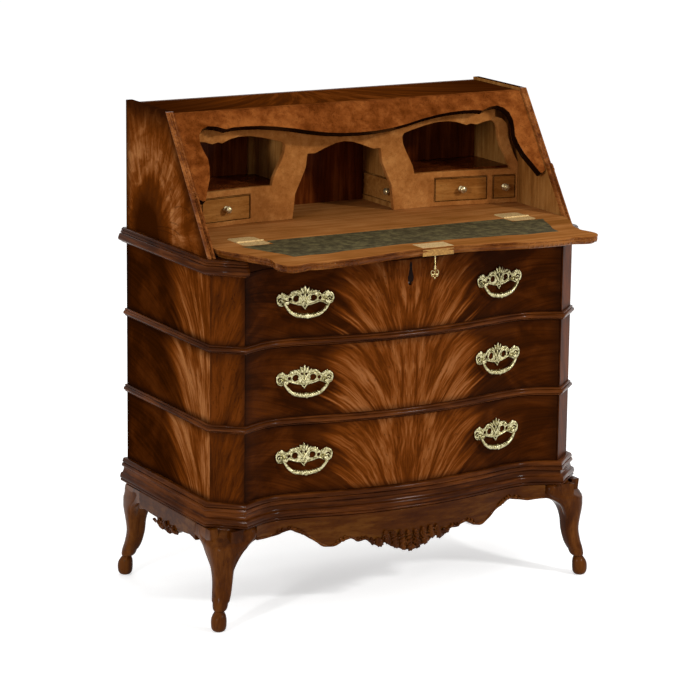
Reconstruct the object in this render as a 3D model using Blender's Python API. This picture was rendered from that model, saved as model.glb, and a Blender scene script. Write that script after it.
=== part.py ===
"""Writing bureau with a serpentine front, a sloping fall, three long drawers and a fitted interior.

Metres, +Z up, x across, the front towards -Y and the floor at z = 0.
A depth is a distance forward of the back of the case, so y is minus the depth
until the whole bureau is centred over its footprint at the end.
"""

import math

import bmesh
import bpy
from mathutils import Matrix, Vector
from mathutils.geometry import tessellate_polygon

# Clearances
TOUCH_GAP = 0.0003
RUNNING_GAP = 0.0012
CUT_OVERRUN = 0.005

# Case, seen from the front and in plan
CASE_HALF_WIDTH = 0.440
SIDE_DEPTH = 0.400
CANT_WIDTH = 0.054
CANT_DEPTH = 0.049
SIDE_THICKNESS = 0.015
BACK_THICKNESS = 0.012
POST_FACE_WIDTH = 0.002
POST_RETURN = 0.015
FRONT_DIP = 0.030
FRONT_CURVE_SHARES = (
    (0.0, -0.32), (0.13, -0.28), (0.26, -0.12), (0.39, 0.14), (0.52, 0.47), (0.62, 0.76),
    (0.70, 0.94), (0.76, 1.0), (0.82, 0.95), (0.88, 0.74), (0.94, 0.40), (1.0, 0.0),
)
FRONT_FACETS = 12

# Storeys of the case, from the floor up
STAND_HEIGHT = 0.2125
BASE_HEIGHT = 0.052
BOTTOM_THICKNESS = 0.021
LOWER_SPACE = 0.148
MIDDLE_SPACE = 0.1513
UPPER_SPACE = 0.1517
RAIL_THICKNESS = 0.017
WAIST_THICKNESS = 0.026
BED_THICKNESS = 0.0182
DESK_STOREY_HEIGHT = 0.2745

# Sloping front
SLOPE_TOP_DEPTH = 0.195
SLOPE_FOOT_SETBACK = 0.010
TOP_THICKNESS = 0.018
TOP_RECESS = 0.006
FRAME_THICKNESS = 0.018
FRAME_TIP_RAIL = 0.0322
FRAME_HORN_RISE = 0.0905
FRAME_HORN_ROUND = 0.006
LID_THICKNESS = 0.018
LID_RECESS = 0.0023
LID_CLEARANCE = 0.002
LID_SHARES = (
    (1.0, 0.0), (1.0, 0.116), (0.991, 0.233), (0.963, 0.341), (0.935, 0.434), (0.902, 0.543),
    (0.886, 0.640), (0.881, 0.717), (0.893, 0.795), (0.899, 0.860), (0.892, 0.930), (0.869, 0.977),
    (0.836, 1.0), (0.794, 0.992), (0.743, 0.961), (0.701, 0.973), (0.631, 0.975), (0.549, 0.969),
    (0.467, 0.953), (0.374, 0.926), (0.280, 0.891), (0.187, 0.864), (0.093, 0.849), (0.0, 0.845),
)
HORN_POINT_SHARE = 0.36

# Mouldings, as (outward, height) shares of their own size
WAIST_MOULDING_HEIGHT = 0.0335
WAIST_MOULDING_PROJECTION = 0.020
WAIST_PROFILE_SHARES = (
    (0.26, 0.0), (0.62, 0.08), (0.97, 0.26), (1.0, 0.42), (0.84, 0.60), (0.68, 0.67), (0.60, 0.86), (0.43, 1.0),
)
STRING_PROJECTION = 0.0085
STRING_PROFILE_SHARES = ((0.35, 0.0), (0.85, 0.20), (1.0, 0.5), (0.85, 0.80), (0.35, 1.0))
BASE_PROJECTION = 0.018
BASE_PROFILE_SHARES = (
    (0.72, 0.0), (0.96, 0.08), (1.0, 0.24), (0.86, 0.38), (0.52, 0.46), (0.48, 0.62),
    (0.70, 0.70), (0.78, 0.84), (0.62, 0.96), (0.40, 1.0),
)
SLOPE_MOULDING_WIDTH = 0.016
SLOPE_MOULDING_LOWER_RISE = 0.010
SLOPE_MOULDING_UPPER_RISE = 0.005
COLLAR_RISE = 0.012
COLLAR_START = 0.127
COLLAR_LENGTH = 0.020
MOULDING_SMOOTHING = math.radians(50)

# Stand
STAND_PROJECTION = 0.016
LEG_BLOCK_HALF = 0.050
LEG_BACK_OVERHANG = 0.009
KNEE_REACH_SHARE = 0.7
APRON_THICKNESS = 0.020
BACK_RAIL_HEIGHT = 0.045
FRONT_APRON_DROP = 0.091
SIDE_APRON_DROP = 0.0575
FRONT_APRON_SHARES = (
    (0.0, 1.0), (0.034, 0.989), (0.062, 0.948), (0.093, 0.907), (0.127, 0.857), (0.157, 0.769),
    (0.18, 0.753), (0.202, 0.791), (0.222, 0.813), (0.242, 0.764), (0.27, 0.698), (0.298, 0.637),
    (0.343, 0.654), (0.368, 0.604), (0.394, 0.571), (0.419, 0.588), (0.447, 0.632), (0.475, 0.692),
    (0.506, 0.725), (0.534, 0.725), (0.562, 0.692), (0.59, 0.621), (0.621, 0.527), (0.652, 0.45),
    (0.686, 0.379), (0.722, 0.308), (0.756, 0.258), (0.81, 0.291), (0.843, 0.324), (0.886, 0.352),
    (0.928, 0.348), (1.0, 0.33),
)
SIDE_APRON_SHARES = (
    (0.0, 1.0), (0.14, 0.965), (0.28, 0.88), (0.36, 0.66), (0.60, 0.65), (0.80, 0.60), (1.0, 0.70),
)
LEG_SIDES = 12
LEG_SMOOTHING = math.radians(60)
# Height, outward shift along the diagonal, half width, corner rounding
LEG_RING_SHARES = (
    (0.0, 0.18, 0.21, 1.0), (0.030, 0.18, 0.31, 1.0), (0.087, 0.18, 0.336, 1.0),
    (0.145, 0.13, 0.30, 1.0), (0.193, 0.08, 0.244, 1.0), (0.241, 0.0, 0.300, 0.9),
    (0.29, -0.08, 0.33, 0.8), (0.36, -0.20, 0.36, 0.7), (0.48, -0.31, 0.38, 0.7),
    (0.60, -0.31, 0.43, 0.6), (0.70, -0.33, 0.52, 0.6), (0.78, -0.43, 0.63, 0.5),
    (0.86, -0.68, 0.82, 0.4), (0.93, -0.99, 1.0, 0.3), (1.0, -0.99, 1.0, 0.3),
)

# Fitted interior, seen from the front
GALLERY_SETBACK = 0.027
GALLERY_THICKNESS = 0.012
GALLERY_WING_MARGIN = 0.0035
GALLERY_WING_SPREAD = 0.030
GALLERY_FLOOR = 0.010
SMALL_SPACE = 0.0535
SHELF_THICKNESS = 0.0135
DIVIDER_PLACE_SHARE = 0.3177
DIVIDER_THICKNESS = 0.006
SIDE_DRAWER_LENGTH = 0.085
PARTITION_PLACE_SHARE = 0.859
CELL_PARTITION = 0.012
END_WALL = 0.0042
PILASTER_WIDTH = 0.015
PILASTER_THICKNESS = 0.008
CENTRE_OPENING_SHARES = (
    (0.932, 0.0), (0.903, 0.12), (0.881, 0.24), (0.784, 0.36), (0.696, 0.475), (0.667, 0.603),
    (0.529, 0.603), (0.330, 0.65), (0.148, 0.685), (0.0, 0.695),
)
SIDE_OPENING_SHARES = (
    (0.415, 0.0), (0.406, 0.11), (0.387, 0.215), (0.361, 0.345), (0.345, 0.448), (0.340, 0.545),
    (0.350, 0.592), (0.394, 0.628), (0.471, 0.680), (0.536, 0.713), (0.608, 0.720), (0.657, 0.70),
    (0.709, 0.652), (0.730, 0.673), (0.767, 0.655), (0.810, 0.693), (0.839, 0.706), (0.862, 0.69),
    (0.876, 0.648), (0.883, 0.577), (0.887, 0.461), (0.902, 0.325), (0.931, 0.183), (0.960, 0.0),
)
GALLERY_SHOULDER_SHARES = (
    (1.0, 0.088), (0.974, 0.215), (0.956, 0.345), (0.939, 0.473), (0.939, 0.570), (0.928, 0.667),
    (0.904, 0.730), (0.867, 0.763),
)

# Drawers
DRAWER_FRONT_THICKNESS = 0.020
DRAWER_WALL = 0.010
DRAWER_BOTTOM = 0.008
DRAWER_BACK_DEPTH = 0.030
DRAWER_SIDE_DROP = 0.014
SMALL_FRONT_THICKNESS = 0.009
SMALL_WALL = 0.005
SMALL_SIDE_DROP = 0.006
SMALL_BACK_DEPTH = 0.022
KNOB_LENGTH = 0.015
KNOB_RADIUS = 0.0062
KNOB_SIDES = 12
KNOB_SHARES = ((0.55, 0.0), (0.42, 0.25), (0.40, 0.45), (0.85, 0.60), (1.0, 0.76), (0.80, 0.93), (0.35, 1.0))
SIDE_KNOB_SETBACK = 0.0195
LOCK_WIDTH = 0.060
LOCK_HEIGHT = 0.045
LOCK_THICKNESS = 0.010
KEYHOLE_TOP_DROP = 0.012
KEYHOLE_HEIGHT = 0.044
KEYHOLE_RADIUS = 0.0055
KEYHOLE_NECK = 0.0026
KEYHOLE_SIDES = 11
KEYHOLE_SINK = 0.010

# Drawer handles
HANDLE_END_DISTANCE = 0.150
HANDLE_DROP_SHARE = 0.517
PLATE_HALF_WIDTH = 0.0605
PLATE_RISE = 0.034
PLATE_DROP = 0.0165
PLATE_THICKNESS = 0.0016
PLATE_UPPER_SHARES = (
    (0.93, 0.06), (0.93, 0.29), (0.80, 0.41), (0.64, 0.35), (0.48, 0.38), (0.45, 0.65),
    (0.32, 0.76), (0.21, 0.71), (0.13, 0.91), (0.0, 1.0),
)
PLATE_LOWER_SHARES = (
    (0.0, 1.0), (0.08, 0.85), (0.14, 0.48), (0.29, 0.36), (0.45, 0.18), (0.61, 0.24),
    (0.77, 0.42), (0.93, 0.30), (1.0, 0.06),
)
POST_SPACING = 0.043
POST_RADIUS = 0.0034
POST_LENGTH = 0.012
BAIL_RADIUS = 0.0028
BAIL_END_GAP = 0.0008
BAIL_DROP = 0.0355
BAIL_SHARES = (
    (1.0, 0.0), (0.95, 0.012), (0.94, 0.15), (0.97, 0.30), (0.92, 0.48), (0.76, 0.68), (0.50, 0.85),
    (0.24, 0.96), (0.0, 1.0),
)
ROUND_SIDES = 8
BAIL_SMOOTHING = math.radians(60)

# Fall fittings
LEATHER_THICKNESS = 0.0012
LEATHER_SINK = 0.0015
LEATHER_HINGE_MARGIN = 0.003
LEATHER_SHARES = (
    (0.867, 0.165), (0.841, 0.260), (0.806, 0.426), (0.766, 0.570),
    (0.750, 0.700), (0.663, 0.690), (0.562, 0.705), (0.464, 0.665), (0.314, 0.648), (0.134, 0.615),
    (0.0, 0.628),
)
LEATHER_BACK_SHARE = 0.023
HINGE_END_DISTANCE = 0.069
HINGE_WIDTH = 0.063
HINGE_THICKNESS = 0.0015
BED_LEAF_LENGTH = 0.049
LID_LEAF_LENGTH = 0.038
LEAF_CORNER = 0.008
KNUCKLE_RADIUS = 0.0028
KNUCKLE_ROOM = 0.0006
KNUCKLE_END_SHARE = 0.26
PIN_RADIUS = 0.0011
PIN_ROOM = 0.0003
PIN_SIDES = 12
LID_LOCK_HALF_WIDTH = 0.037
LID_LOCK_LENGTH = 0.043
LID_LOCK_THICKNESS = 0.0015
LID_LOCK_SINK = 0.0022

# Key, hanging from the lock of the fall
KEY_SETBACK = 0.014
KEY_SHAFT_RADIUS = 0.0022
KEY_ROOM = 0.0003
KEY_ENTRY = 0.012
KEY_SHAFT_LENGTH = 0.028
KEY_COLLAR_RADIUS = 0.0046
KEY_COLLAR_HEIGHT = 0.003
KEY_BOW_RADIUS = 0.0135
KEY_BOW_HOLE_RADIUS = 0.0052
KEY_BOW_THICKNESS = 0.0034
KEY_BOW_SIDES = 16

# Levels worked out from the storeys
BASE_TOP = STAND_HEIGHT + BASE_HEIGHT
LOWER_RAIL = BASE_TOP + LOWER_SPACE
UPPER_RAIL = LOWER_RAIL + RAIL_THICKNESS + MIDDLE_SPACE
WAIST_BOTTOM = UPPER_RAIL + RAIL_THICKNESS + UPPER_SPACE
WAIST_TOP = WAIST_BOTTOM + WAIST_THICKNESS
BED_TOP = WAIST_TOP + TOUCH_GAP + BED_THICKNESS
CASE_HEIGHT = WAIST_TOP + DESK_STOREY_HEIGHT
TOP_SURFACE = CASE_HEIGHT - TOP_RECESS
TOP_UNDERSIDE = TOP_SURFACE - TOP_THICKNESS

# Widths and depths worked out from the case
FRONT_HALF_WIDTH = CASE_HALF_WIDTH - CANT_WIDTH
FRONT_DEPTH = SIDE_DEPTH + CANT_DEPTH
OPENING_HALF = FRONT_HALF_WIDTH - POST_FACE_WIDTH
INNER_HALF = CASE_HALF_WIDTH - SIDE_THICKNESS
BOARD_HALF = INNER_HALF - TOUCH_GAP
BOARD_BACK = BACK_THICKNESS + TOUCH_GAP
HANDLE_SPACING = FRONT_HALF_WIDTH - HANDLE_END_DISTANCE
HINGE_INNER_X = INNER_HALF - HINGE_END_DISTANCE - HINGE_WIDTH

# The slope, with the hinge line of the fall
SLOPE_FOOT_DEPTH = SIDE_DEPTH - SLOPE_FOOT_SETBACK
SLOPE_ANGLE = math.atan2(CASE_HEIGHT - WAIST_TOP, SLOPE_FOOT_DEPTH - SLOPE_TOP_DEPTH)
SLOPE_SINE = math.sin(SLOPE_ANGLE)
SLOPE_COSINE = math.cos(SLOPE_ANGLE)
SLOPE_TANGENT = math.tan(SLOPE_ANGLE)
LID_INSET = LID_THICKNESS + LID_RECESS
HINGE_DEPTH = SLOPE_TOP_DEPTH + (CASE_HEIGHT - BED_TOP) / SLOPE_TANGENT - LID_INSET / SLOPE_SINE
FRAME_TOP_REACH = (TOP_SURFACE - BED_TOP - LID_INSET * SLOPE_COSINE) / SLOPE_SINE
LID_HALF_WIDTH = INNER_HALF - LID_CLEARANCE
LID_REACH = FRAME_TOP_REACH - FRAME_TIP_RAIL - LID_CLEARANCE
LID_FRONT = LID_SHARES[-1][1] * LID_REACH
LID_BOTTOM = BED_TOP - LID_THICKNESS

# The interior
GALLERY_DEPTH = SLOPE_TOP_DEPTH - GALLERY_SETBACK
GALLERY_BOTTOM = BED_TOP + TOUCH_GAP
GALLERY_TOP = TOP_UNDERSIDE - TOUCH_GAP
CELL_BOTTOM = GALLERY_BOTTOM + GALLERY_FLOOR
CELL_TOP = CELL_BOTTOM + SMALL_SPACE
SHELF_TOP = CELL_TOP + SHELF_THICKNESS
DIVIDER_HALF_SPACING = DIVIDER_PLACE_SHARE * INNER_HALF
SIDE_CELL_END = DIVIDER_HALF_SPACING + SIDE_DRAWER_LENGTH + RUNNING_GAP
WIDE_CELL_START = SIDE_CELL_END + DIVIDER_THICKNESS
TINY_CELL_END = BOARD_HALF - END_WALL
TINY_CELL_START = PARTITION_PLACE_SHARE * INNER_HALF
WIDE_CELL_END = TINY_CELL_START - CELL_PARTITION
GALLERY_WING_START = WIDE_CELL_START + GALLERY_WING_MARGIN

# The stand
LEG_CENTRE_X = CASE_HALF_WIDTH + STAND_PROJECTION - LEG_BLOCK_HALF
LEG_CENTRE_FRONT = FRONT_DEPTH + STAND_PROJECTION - LEG_BLOCK_HALF
LEG_CENTRE_BACK = LEG_BLOCK_HALF - LEG_BACK_OVERHANG
APRON_HALF = LEG_CENTRE_X - LEG_BLOCK_HALF - TOUCH_GAP

COLOURS = {
    "side_veneer": ((0.150, 0.050, 0.018), 0.28, 0.0),
    "post_veneer": ((0.110, 0.036, 0.014), 0.28, 0.0),
    "drawer_veneer": ((0.190, 0.062, 0.022), 0.28, 0.0),
    "top_veneer": ((0.095, 0.036, 0.014), 0.30, 0.0),
    "back_boards": ((0.130, 0.065, 0.030), 0.55, 0.0),
    "carcass_boards": ((0.220, 0.100, 0.042), 0.50, 0.0),
    "dark_moulding": ((0.060, 0.020, 0.009), 0.25, 0.0),
    "stand_wood": ((0.070, 0.024, 0.010), 0.25, 0.0),
    "frame_burr": ((0.270, 0.100, 0.036), 0.32, 0.0),
    "desk_wood": ((0.360, 0.150, 0.055), 0.32, 0.0),
    "gallery_burr": ((0.370, 0.165, 0.060), 0.35, 0.0),
    "gallery_wood": ((0.200, 0.085, 0.034), 0.45, 0.0),
    "small_drawer_wood": ((0.300, 0.130, 0.048), 0.35, 0.0),
    "desk_leather": ((0.062, 0.060, 0.030), 0.55, 0.0),
    "handle_brass": ((0.600, 0.520, 0.290), 0.28, 1.0),
    "hinge_brass": ((0.560, 0.450, 0.250), 0.35, 1.0),
    "lock_steel": ((0.450, 0.440, 0.420), 0.35, 1.0),
    "key_metal": ((0.500, 0.470, 0.360), 0.30, 1.0),
}


def make_material(name):
    """Plain surface with the colour, roughness and metallic value of the real piece."""
    colour, roughness, metallic = COLOURS[name]
    material = bpy.data.materials.new(name)
    material.use_nodes = True
    shader = material.node_tree.nodes["Principled BSDF"]
    shader.inputs["Base Color"].default_value = (*colour, 1.0)
    shader.inputs["Roughness"].default_value = roughness
    shader.inputs["Metallic"].default_value = metallic
    return material


# Ways to read an outline's two numbers and the extrusion's third
def in_plan(across, depth, height):
    return Vector((across, -depth, height))


def in_elevation(across, height, depth):
    return Vector((across, -depth, height))


def in_profile(depth, height, across):
    return Vector((across, -depth, height))


def on_slope(across, reach, rise):
    """Point on the closed fall: reach up the slope from the hinge pin, rise square out of it."""
    depth = HINGE_DEPTH - reach * SLOPE_COSINE + rise * SLOPE_SINE
    height = BED_TOP + reach * SLOPE_SINE + rise * SLOPE_COSINE
    return Vector((across, -depth, height))


def mirror_half(half):
    """Whole outline from its right half, given from the outer end to the middle."""
    return list(half) + [(-across, other) for across, other in reversed(half) if across > 0]


def scaled(shares, first, second):
    return [(a * first, b * second) for a, b in shares]


def round_points(radius, sides, centre=(0.0, 0.0), start=0.0, sweep=math.tau, closed=True):
    """Points on an arc; a closed circle leaves out its repeated last point."""
    count = sides if closed else sides + 1
    angles = [start + sweep * step / sides for step in range(count)]
    return [(centre[0] + radius * math.cos(a), centre[1] + radius * math.sin(a)) for a in angles]


def offset_line(points, distance):
    """The open line moved to its left by the distance, with mitred corners."""
    moved = []
    for index, (x, y) in enumerate(points):
        before = Vector(points[max(index - 1, 0)])
        here = Vector((x, y))
        after = Vector(points[min(index + 1, len(points) - 1)])
        first = (here - before) if index > 0 else (after - here)
        second = (after - here) if index < len(points) - 1 else (here - before)
        left = Vector((-first.normalized().y, first.normalized().x))
        other_left = Vector((-second.normalized().y, second.normalized().x))
        middle = (left + other_left).normalized()
        reach = distance / middle.dot(left)
        moved.append((x + middle.x * reach, y + middle.y * reach))
    return moved


def new_object(name, mesh_data, material=None, smooth=None):
    mesh = bpy.data.meshes.new(name)
    bmesh.ops.recalc_face_normals(mesh_data, faces=mesh_data.faces)
    mesh_data.to_mesh(mesh)
    mesh_data.free()
    part = bpy.data.objects.new(name, mesh)
    bpy.context.scene.collection.objects.link(part)
    if material is not None:
        mesh.materials.append(material)
    if smooth is not None:
        mesh.shade_smooth()
        mesh.set_sharp_from_angle(angle=smooth)
    return part


def solid_between(lower, upper):
    """Closed solid between two outlines with the same number of points."""
    shape = bmesh.new()
    bottom = [shape.verts.new(point) for point in lower]
    top = [shape.verts.new(point) for point in upper]
    shape.faces.new(bottom)
    shape.faces.new(list(reversed(top)))
    for index, corner in enumerate(bottom):
        following = (index + 1) % len(bottom)
        shape.faces.new((corner, top[index], top[following], bottom[following]))
    return shape


def extruded(outline, start, end, reading):
    """Closed prism of an outline, between two places along the third direction."""
    lower = [reading(a, b, start) for a, b in outline]
    upper = [reading(a, b, end) for a, b in outline]
    return solid_between(lower, upper)


def pierced(outline, holes, start, end, reading):
    """Closed prism of an outline with holes right through it."""
    shape = bmesh.new()
    loops = [list(outline)] + [list(hole) for hole in holes]
    flat = [[Vector((a, b, 0.0)) for a, b in loop] for loop in loops]
    triangles = tessellate_polygon(flat)
    rings = []
    for place in (start, end):
        rings.append([shape.verts.new(reading(a, b, place)) for loop in loops for a, b in loop])
    for triangle in triangles:
        for ring in rings:
            shape.faces.new([ring[corner] for corner in triangle])
    first = 0
    for loop in loops:
        for step in range(len(loop)):
            here = first + step
            following = first + (step + 1) % len(loop)
            shape.faces.new((rings[0][here], rings[1][here], rings[1][following], rings[0][following]))
        first += len(loop)
    return shape


def bent_back(shape, stations, depth_at):
    """Cut the shape at each station across and push every point forward by the depth there."""
    for station in stations:
        everything = shape.verts[:] + shape.edges[:] + shape.faces[:]
        bmesh.ops.bisect_plane(shape, geom=everything, plane_co=(station, 0, 0), plane_no=(1, 0, 0))
    for corner in shape.verts:
        corner.co.y -= depth_at(corner.co.x)
    return shape


def plan_moulding(path, profile, bottom, height):
    """Moulding carried round the case: profile of (outward, up) shares, path from back left."""
    shape = bmesh.new()
    points = [Vector(point) for point in path]
    rings = []
    for index, here in enumerate(points):
        first = (here - points[index - 1]).normalized() if index > 0 else None
        second = (points[index + 1] - here).normalized() if index < len(points) - 1 else None
        first = first or second
        second = second or first
        outward = Vector((first.y, -first.x))
        mitre = (outward + Vector((second.y, -second.x))).normalized()
        mitre /= mitre.dot(outward)
        ring = []
        for out, up in profile:
            place = here + mitre * out
            ring.append(shape.verts.new((place.x, place.y, bottom + up * height)))
        rings.append(ring)
    for before, after in zip(rings, rings[1:]):
        for index in range(len(profile)):
            following = (index + 1) % len(profile)
            shape.faces.new((before[index], before[following], after[following], after[index]))
    shape.faces.new(rings[0])
    shape.faces.new(list(reversed(rings[-1])))
    return shape


def turned(profile, sides, centre, axis):
    """Solid of revolution with pointed or flat ends: profile of (radius, distance along axis)."""
    shape = bmesh.new()
    along = Vector(axis).normalized()
    side = along.orthogonal().normalized()
    other = along.cross(side)
    rings = []
    for radius, distance in profile:
        ring = []
        for step in range(sides):
            angle = math.tau * step / sides
            direction = side * math.cos(angle) + other * math.sin(angle)
            ring.append(shape.verts.new(Vector(centre) + along * distance + direction * radius))
        rings.append(ring)
    for before, after in zip(rings, rings[1:]):
        for index in range(sides):
            following = (index + 1) % sides
            shape.faces.new((before[index], before[following], after[following], after[index]))
    shape.faces.new(rings[0])
    shape.faces.new(list(reversed(rings[-1])))
    return shape


def rod(radius, start, end, sides):
    """Round rod between two points."""
    along = Vector(end) - Vector(start)
    return turned([(radius, 0.0), (radius, along.length)], sides, start, along)


def combine(part, tool_shape, operation):
    """Join a shape to the part, or cut it out of the part."""
    tool = new_object("tool", tool_shape)
    change = part.modifiers.new("change", "BOOLEAN")
    change.operation = operation
    change.object = tool
    bpy.context.view_layer.update()
    evaluated = part.evaluated_get(bpy.context.evaluated_depsgraph_get())
    result = bpy.data.meshes.new_from_object(evaluated)
    part.modifiers.clear()
    part.data = result
    bpy.data.objects.remove(tool)
    return part


def box(low, high):
    """Box between two corners given as (across, depth, height)."""
    outline = [(low[0], low[1]), (high[0], low[1]), (high[0], high[1]), (low[0], high[1])]
    return extruded(outline, low[2], high[2], in_plan)


def set_pivot(part, pivot):
    """Put the object's origin at the pivot and leave its surface where it is."""
    part.data.transform(Matrix.Translation(-Vector(pivot)))
    part.location = pivot
    return part


def mirrored(part, name):
    """The same piece for the left side."""
    mesh = part.data.copy()
    mesh.transform(Matrix.Scale(-1.0, 4, (1, 0, 0)))
    mesh.flip_normals()
    mesh.name = name
    copy = bpy.data.objects.new(name, mesh)
    copy.location = (-part.location.x, part.location.y, part.location.z)
    bpy.context.scene.collection.objects.link(copy)
    return copy


def both_sides(part):
    """Name the piece for the right side and add its mirror image for the left."""
    stem = part.name
    part.name = stem + "_right"
    part.data.name = part.name
    return [mirrored(part, stem + "_left"), part]


# The serpentine front line, the same for drawers, rails, mouldings and apron
def curve_through(points, place):
    """Smooth curve through points in rising order, level at its first point."""
    last = len(points) - 1
    index = max(i for i in range(last) if points[i][0] <= place or i == 0)
    slopes = []
    for i in (index, index + 1):
        before = points[max(i - 1, 0)]
        after = points[min(i + 1, last)]
        level = i == 0
        slopes.append(0.0 if level else (after[1] - before[1]) / (after[0] - before[0]))
    (x0, y0), (x1, y1) = points[index], points[index + 1]
    width = x1 - x0
    t = (place - x0) / width
    return (
        y0 * (2 * t**3 - 3 * t**2 + 1)
        + slopes[0] * width * (t**3 - 2 * t**2 + t)
        + y1 * (3 * t**2 - 2 * t**3)
        + slopes[1] * width * (t**3 - t**2)
    )


def face_stations():
    """Places across at which the front's facets meet, with their depths."""
    stations = []
    for step in range(-FRONT_FACETS, FRONT_FACETS + 1):
        share = step / FRONT_FACETS
        dip = curve_through(FRONT_CURVE_SHARES, abs(share))
        stations.append((share * FRONT_HALF_WIDTH, FRONT_DEPTH - dip * FRONT_DIP))
    return stations


FACE_STATIONS = face_stations()


def face_depth(across):
    """Depth of the faceted front at a place across."""
    for (x0, d0), (x1, d1) in zip(FACE_STATIONS, FACE_STATIONS[1:]):
        if across <= x1:
            return d0 + (d1 - d0) * (across - x0) / (x1 - x0)
    return FACE_STATIONS[-1][1]


def stations_within(half):
    inner = [x for x, _ in FACE_STATIONS if abs(x) < half - TOUCH_GAP]
    return [-half] + inner + [half]


def front_line(half, inset=0.0, walls=()):
    """Plan points of the front from left to right, set back by the inset, with one at each wall."""
    places = sorted(stations_within(half) + [side * wall for wall in walls for side in (-1, 1)])
    return [(across, face_depth(across) - inset) for across in places]


def case_path():
    """Plan path round the outside of the case, from back left to back right."""
    left = [(-CASE_HALF_WIDTH, 0.0), (-CASE_HALF_WIDTH, -SIDE_DEPTH)]
    front = [(across, -depth) for across, depth in FACE_STATIONS]
    right = [(CASE_HALF_WIDTH, -SIDE_DEPTH), (CASE_HALF_WIDTH, 0.0)]
    return left + front + right


def moulding_profile(shares, projection):
    """Closed profile against the case face, a touch gap off it."""
    face = [(TOUCH_GAP, up) for up in (shares[0][1], shares[-1][1])]
    outer = [(out * projection, up) for out, up in shares]
    return [face[0]] + outer + [face[1]]


# Case
def carcass_board(name, bottom, top, material):
    """Board between the sides that reaches the front between the corner posts."""
    front = front_line(OPENING_HALF - TOUCH_GAP)
    shoulder = SIDE_DEPTH - POST_RETURN - TOUCH_GAP
    outline = [(-BOARD_HALF, BOARD_BACK), (-BOARD_HALF, shoulder), (front[0][0], shoulder)]
    outline += front
    outline += [(front[-1][0], shoulder), (BOARD_HALF, shoulder), (BOARD_HALF, BOARD_BACK)]
    return new_object(name, extruded(outline, bottom, top, in_plan), material)


def make_side(material):
    bottom = STAND_HEIGHT + TOUCH_GAP
    outline = [
        (0.0, bottom), (SIDE_DEPTH, bottom), (SIDE_DEPTH, WAIST_TOP), (SLOPE_FOOT_DEPTH, WAIST_TOP),
        (SLOPE_TOP_DEPTH, CASE_HEIGHT), (0.0, CASE_HEIGHT),
    ]
    return new_object("side", extruded(outline, INNER_HALF, CASE_HALF_WIDTH, in_profile), material)


def make_corner_post(material):
    face = SIDE_DEPTH + TOUCH_GAP
    back = SIDE_DEPTH - POST_RETURN
    opening = [(x, d) for x, d in FACE_STATIONS if OPENING_HALF < x < FRONT_HALF_WIDTH]
    outline = [(OPENING_HALF, back), (BOARD_HALF, back), (BOARD_HALF, face), (CASE_HALF_WIDTH, face)]
    outline += [(FRONT_HALF_WIDTH, FRONT_DEPTH)] + opening + [(OPENING_HALF, face_depth(OPENING_HALF))]
    shape = extruded(outline, STAND_HEIGHT + TOUCH_GAP, WAIST_TOP, in_plan)
    return new_object("corner_post", shape, material)


def make_back_panel(material):
    low = (-BOARD_HALF, 0.0, STAND_HEIGHT + TOUCH_GAP)
    return new_object("back_panel", box(low, (BOARD_HALF, BACK_THICKNESS, CASE_HEIGHT)), material)


def slope_depth(height, inset=0.0):
    """Depth of the slope at a height, or of a plane set back square from it."""
    return SLOPE_TOP_DEPTH + (CASE_HEIGHT - height) / SLOPE_TANGENT - inset / SLOPE_SINE


def make_top_board(material):
    inset = FRAME_THICKNESS + TOUCH_GAP
    outline = [
        (BOARD_BACK, TOP_UNDERSIDE), (slope_depth(TOP_UNDERSIDE, inset), TOP_UNDERSIDE),
        (slope_depth(TOP_SURFACE, inset), TOP_SURFACE), (BOARD_BACK, TOP_SURFACE),
    ]
    return new_object("top_board", extruded(outline, -BOARD_HALF, BOARD_HALF, in_profile), material)


def make_case(materials):
    inside = materials["carcass_boards"]
    parts = both_sides(make_side(materials["side_veneer"]))
    parts += both_sides(make_corner_post(materials["post_veneer"]))
    parts.append(make_back_panel(materials["back_boards"]))
    parts.append(make_top_board(materials["top_veneer"]))
    parts.append(carcass_board("case_bottom", BASE_TOP - BOTTOM_THICKNESS, BASE_TOP, inside))
    parts.append(carcass_board("dust_board_lower", LOWER_RAIL, LOWER_RAIL + RAIL_THICKNESS, inside))
    parts.append(carcass_board("dust_board_upper", UPPER_RAIL, UPPER_RAIL + RAIL_THICKNESS, inside))
    parts.append(carcass_board("waist_board", WAIST_BOTTOM, WAIST_TOP, inside))
    return parts


# Mouldings
def make_string(name, rail, material):
    """Reeded half round that covers the edge of a rail on the front and runs on round the sides."""
    profile = moulding_profile(STRING_PROFILE_SHARES, STRING_PROJECTION)
    height = RAIL_THICKNESS - 2 * TOUCH_GAP
    shape = plan_moulding(case_path(), profile, rail + TOUCH_GAP, height)
    return new_object(name, shape, material, MOULDING_SMOOTHING)


def make_base_moulding(material):
    profile = moulding_profile(BASE_PROFILE_SHARES, BASE_PROJECTION)
    bottom = STAND_HEIGHT + TOUCH_GAP
    shape = plan_moulding(case_path(), profile, bottom, BASE_TOP - bottom)
    return new_object("base_moulding", shape, material, MOULDING_SMOOTHING)


def make_waist_moulding(material):
    """Cap moulding of one side and cant, with a square end at the drawer opening."""
    path = [(OPENING_HALF, -FRONT_DEPTH), (FRONT_HALF_WIDTH, -FRONT_DEPTH)]
    path += [(CASE_HALF_WIDTH, -SIDE_DEPTH), (CASE_HALF_WIDTH, 0.0)]
    profile = moulding_profile(WAIST_PROFILE_SHARES, WAIST_MOULDING_PROJECTION)
    shape = plan_moulding(path, profile, WAIST_TOP - WAIST_MOULDING_HEIGHT, WAIST_MOULDING_HEIGHT)
    return new_object("waist_moulding", shape, material, MOULDING_SMOOTHING)


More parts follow.
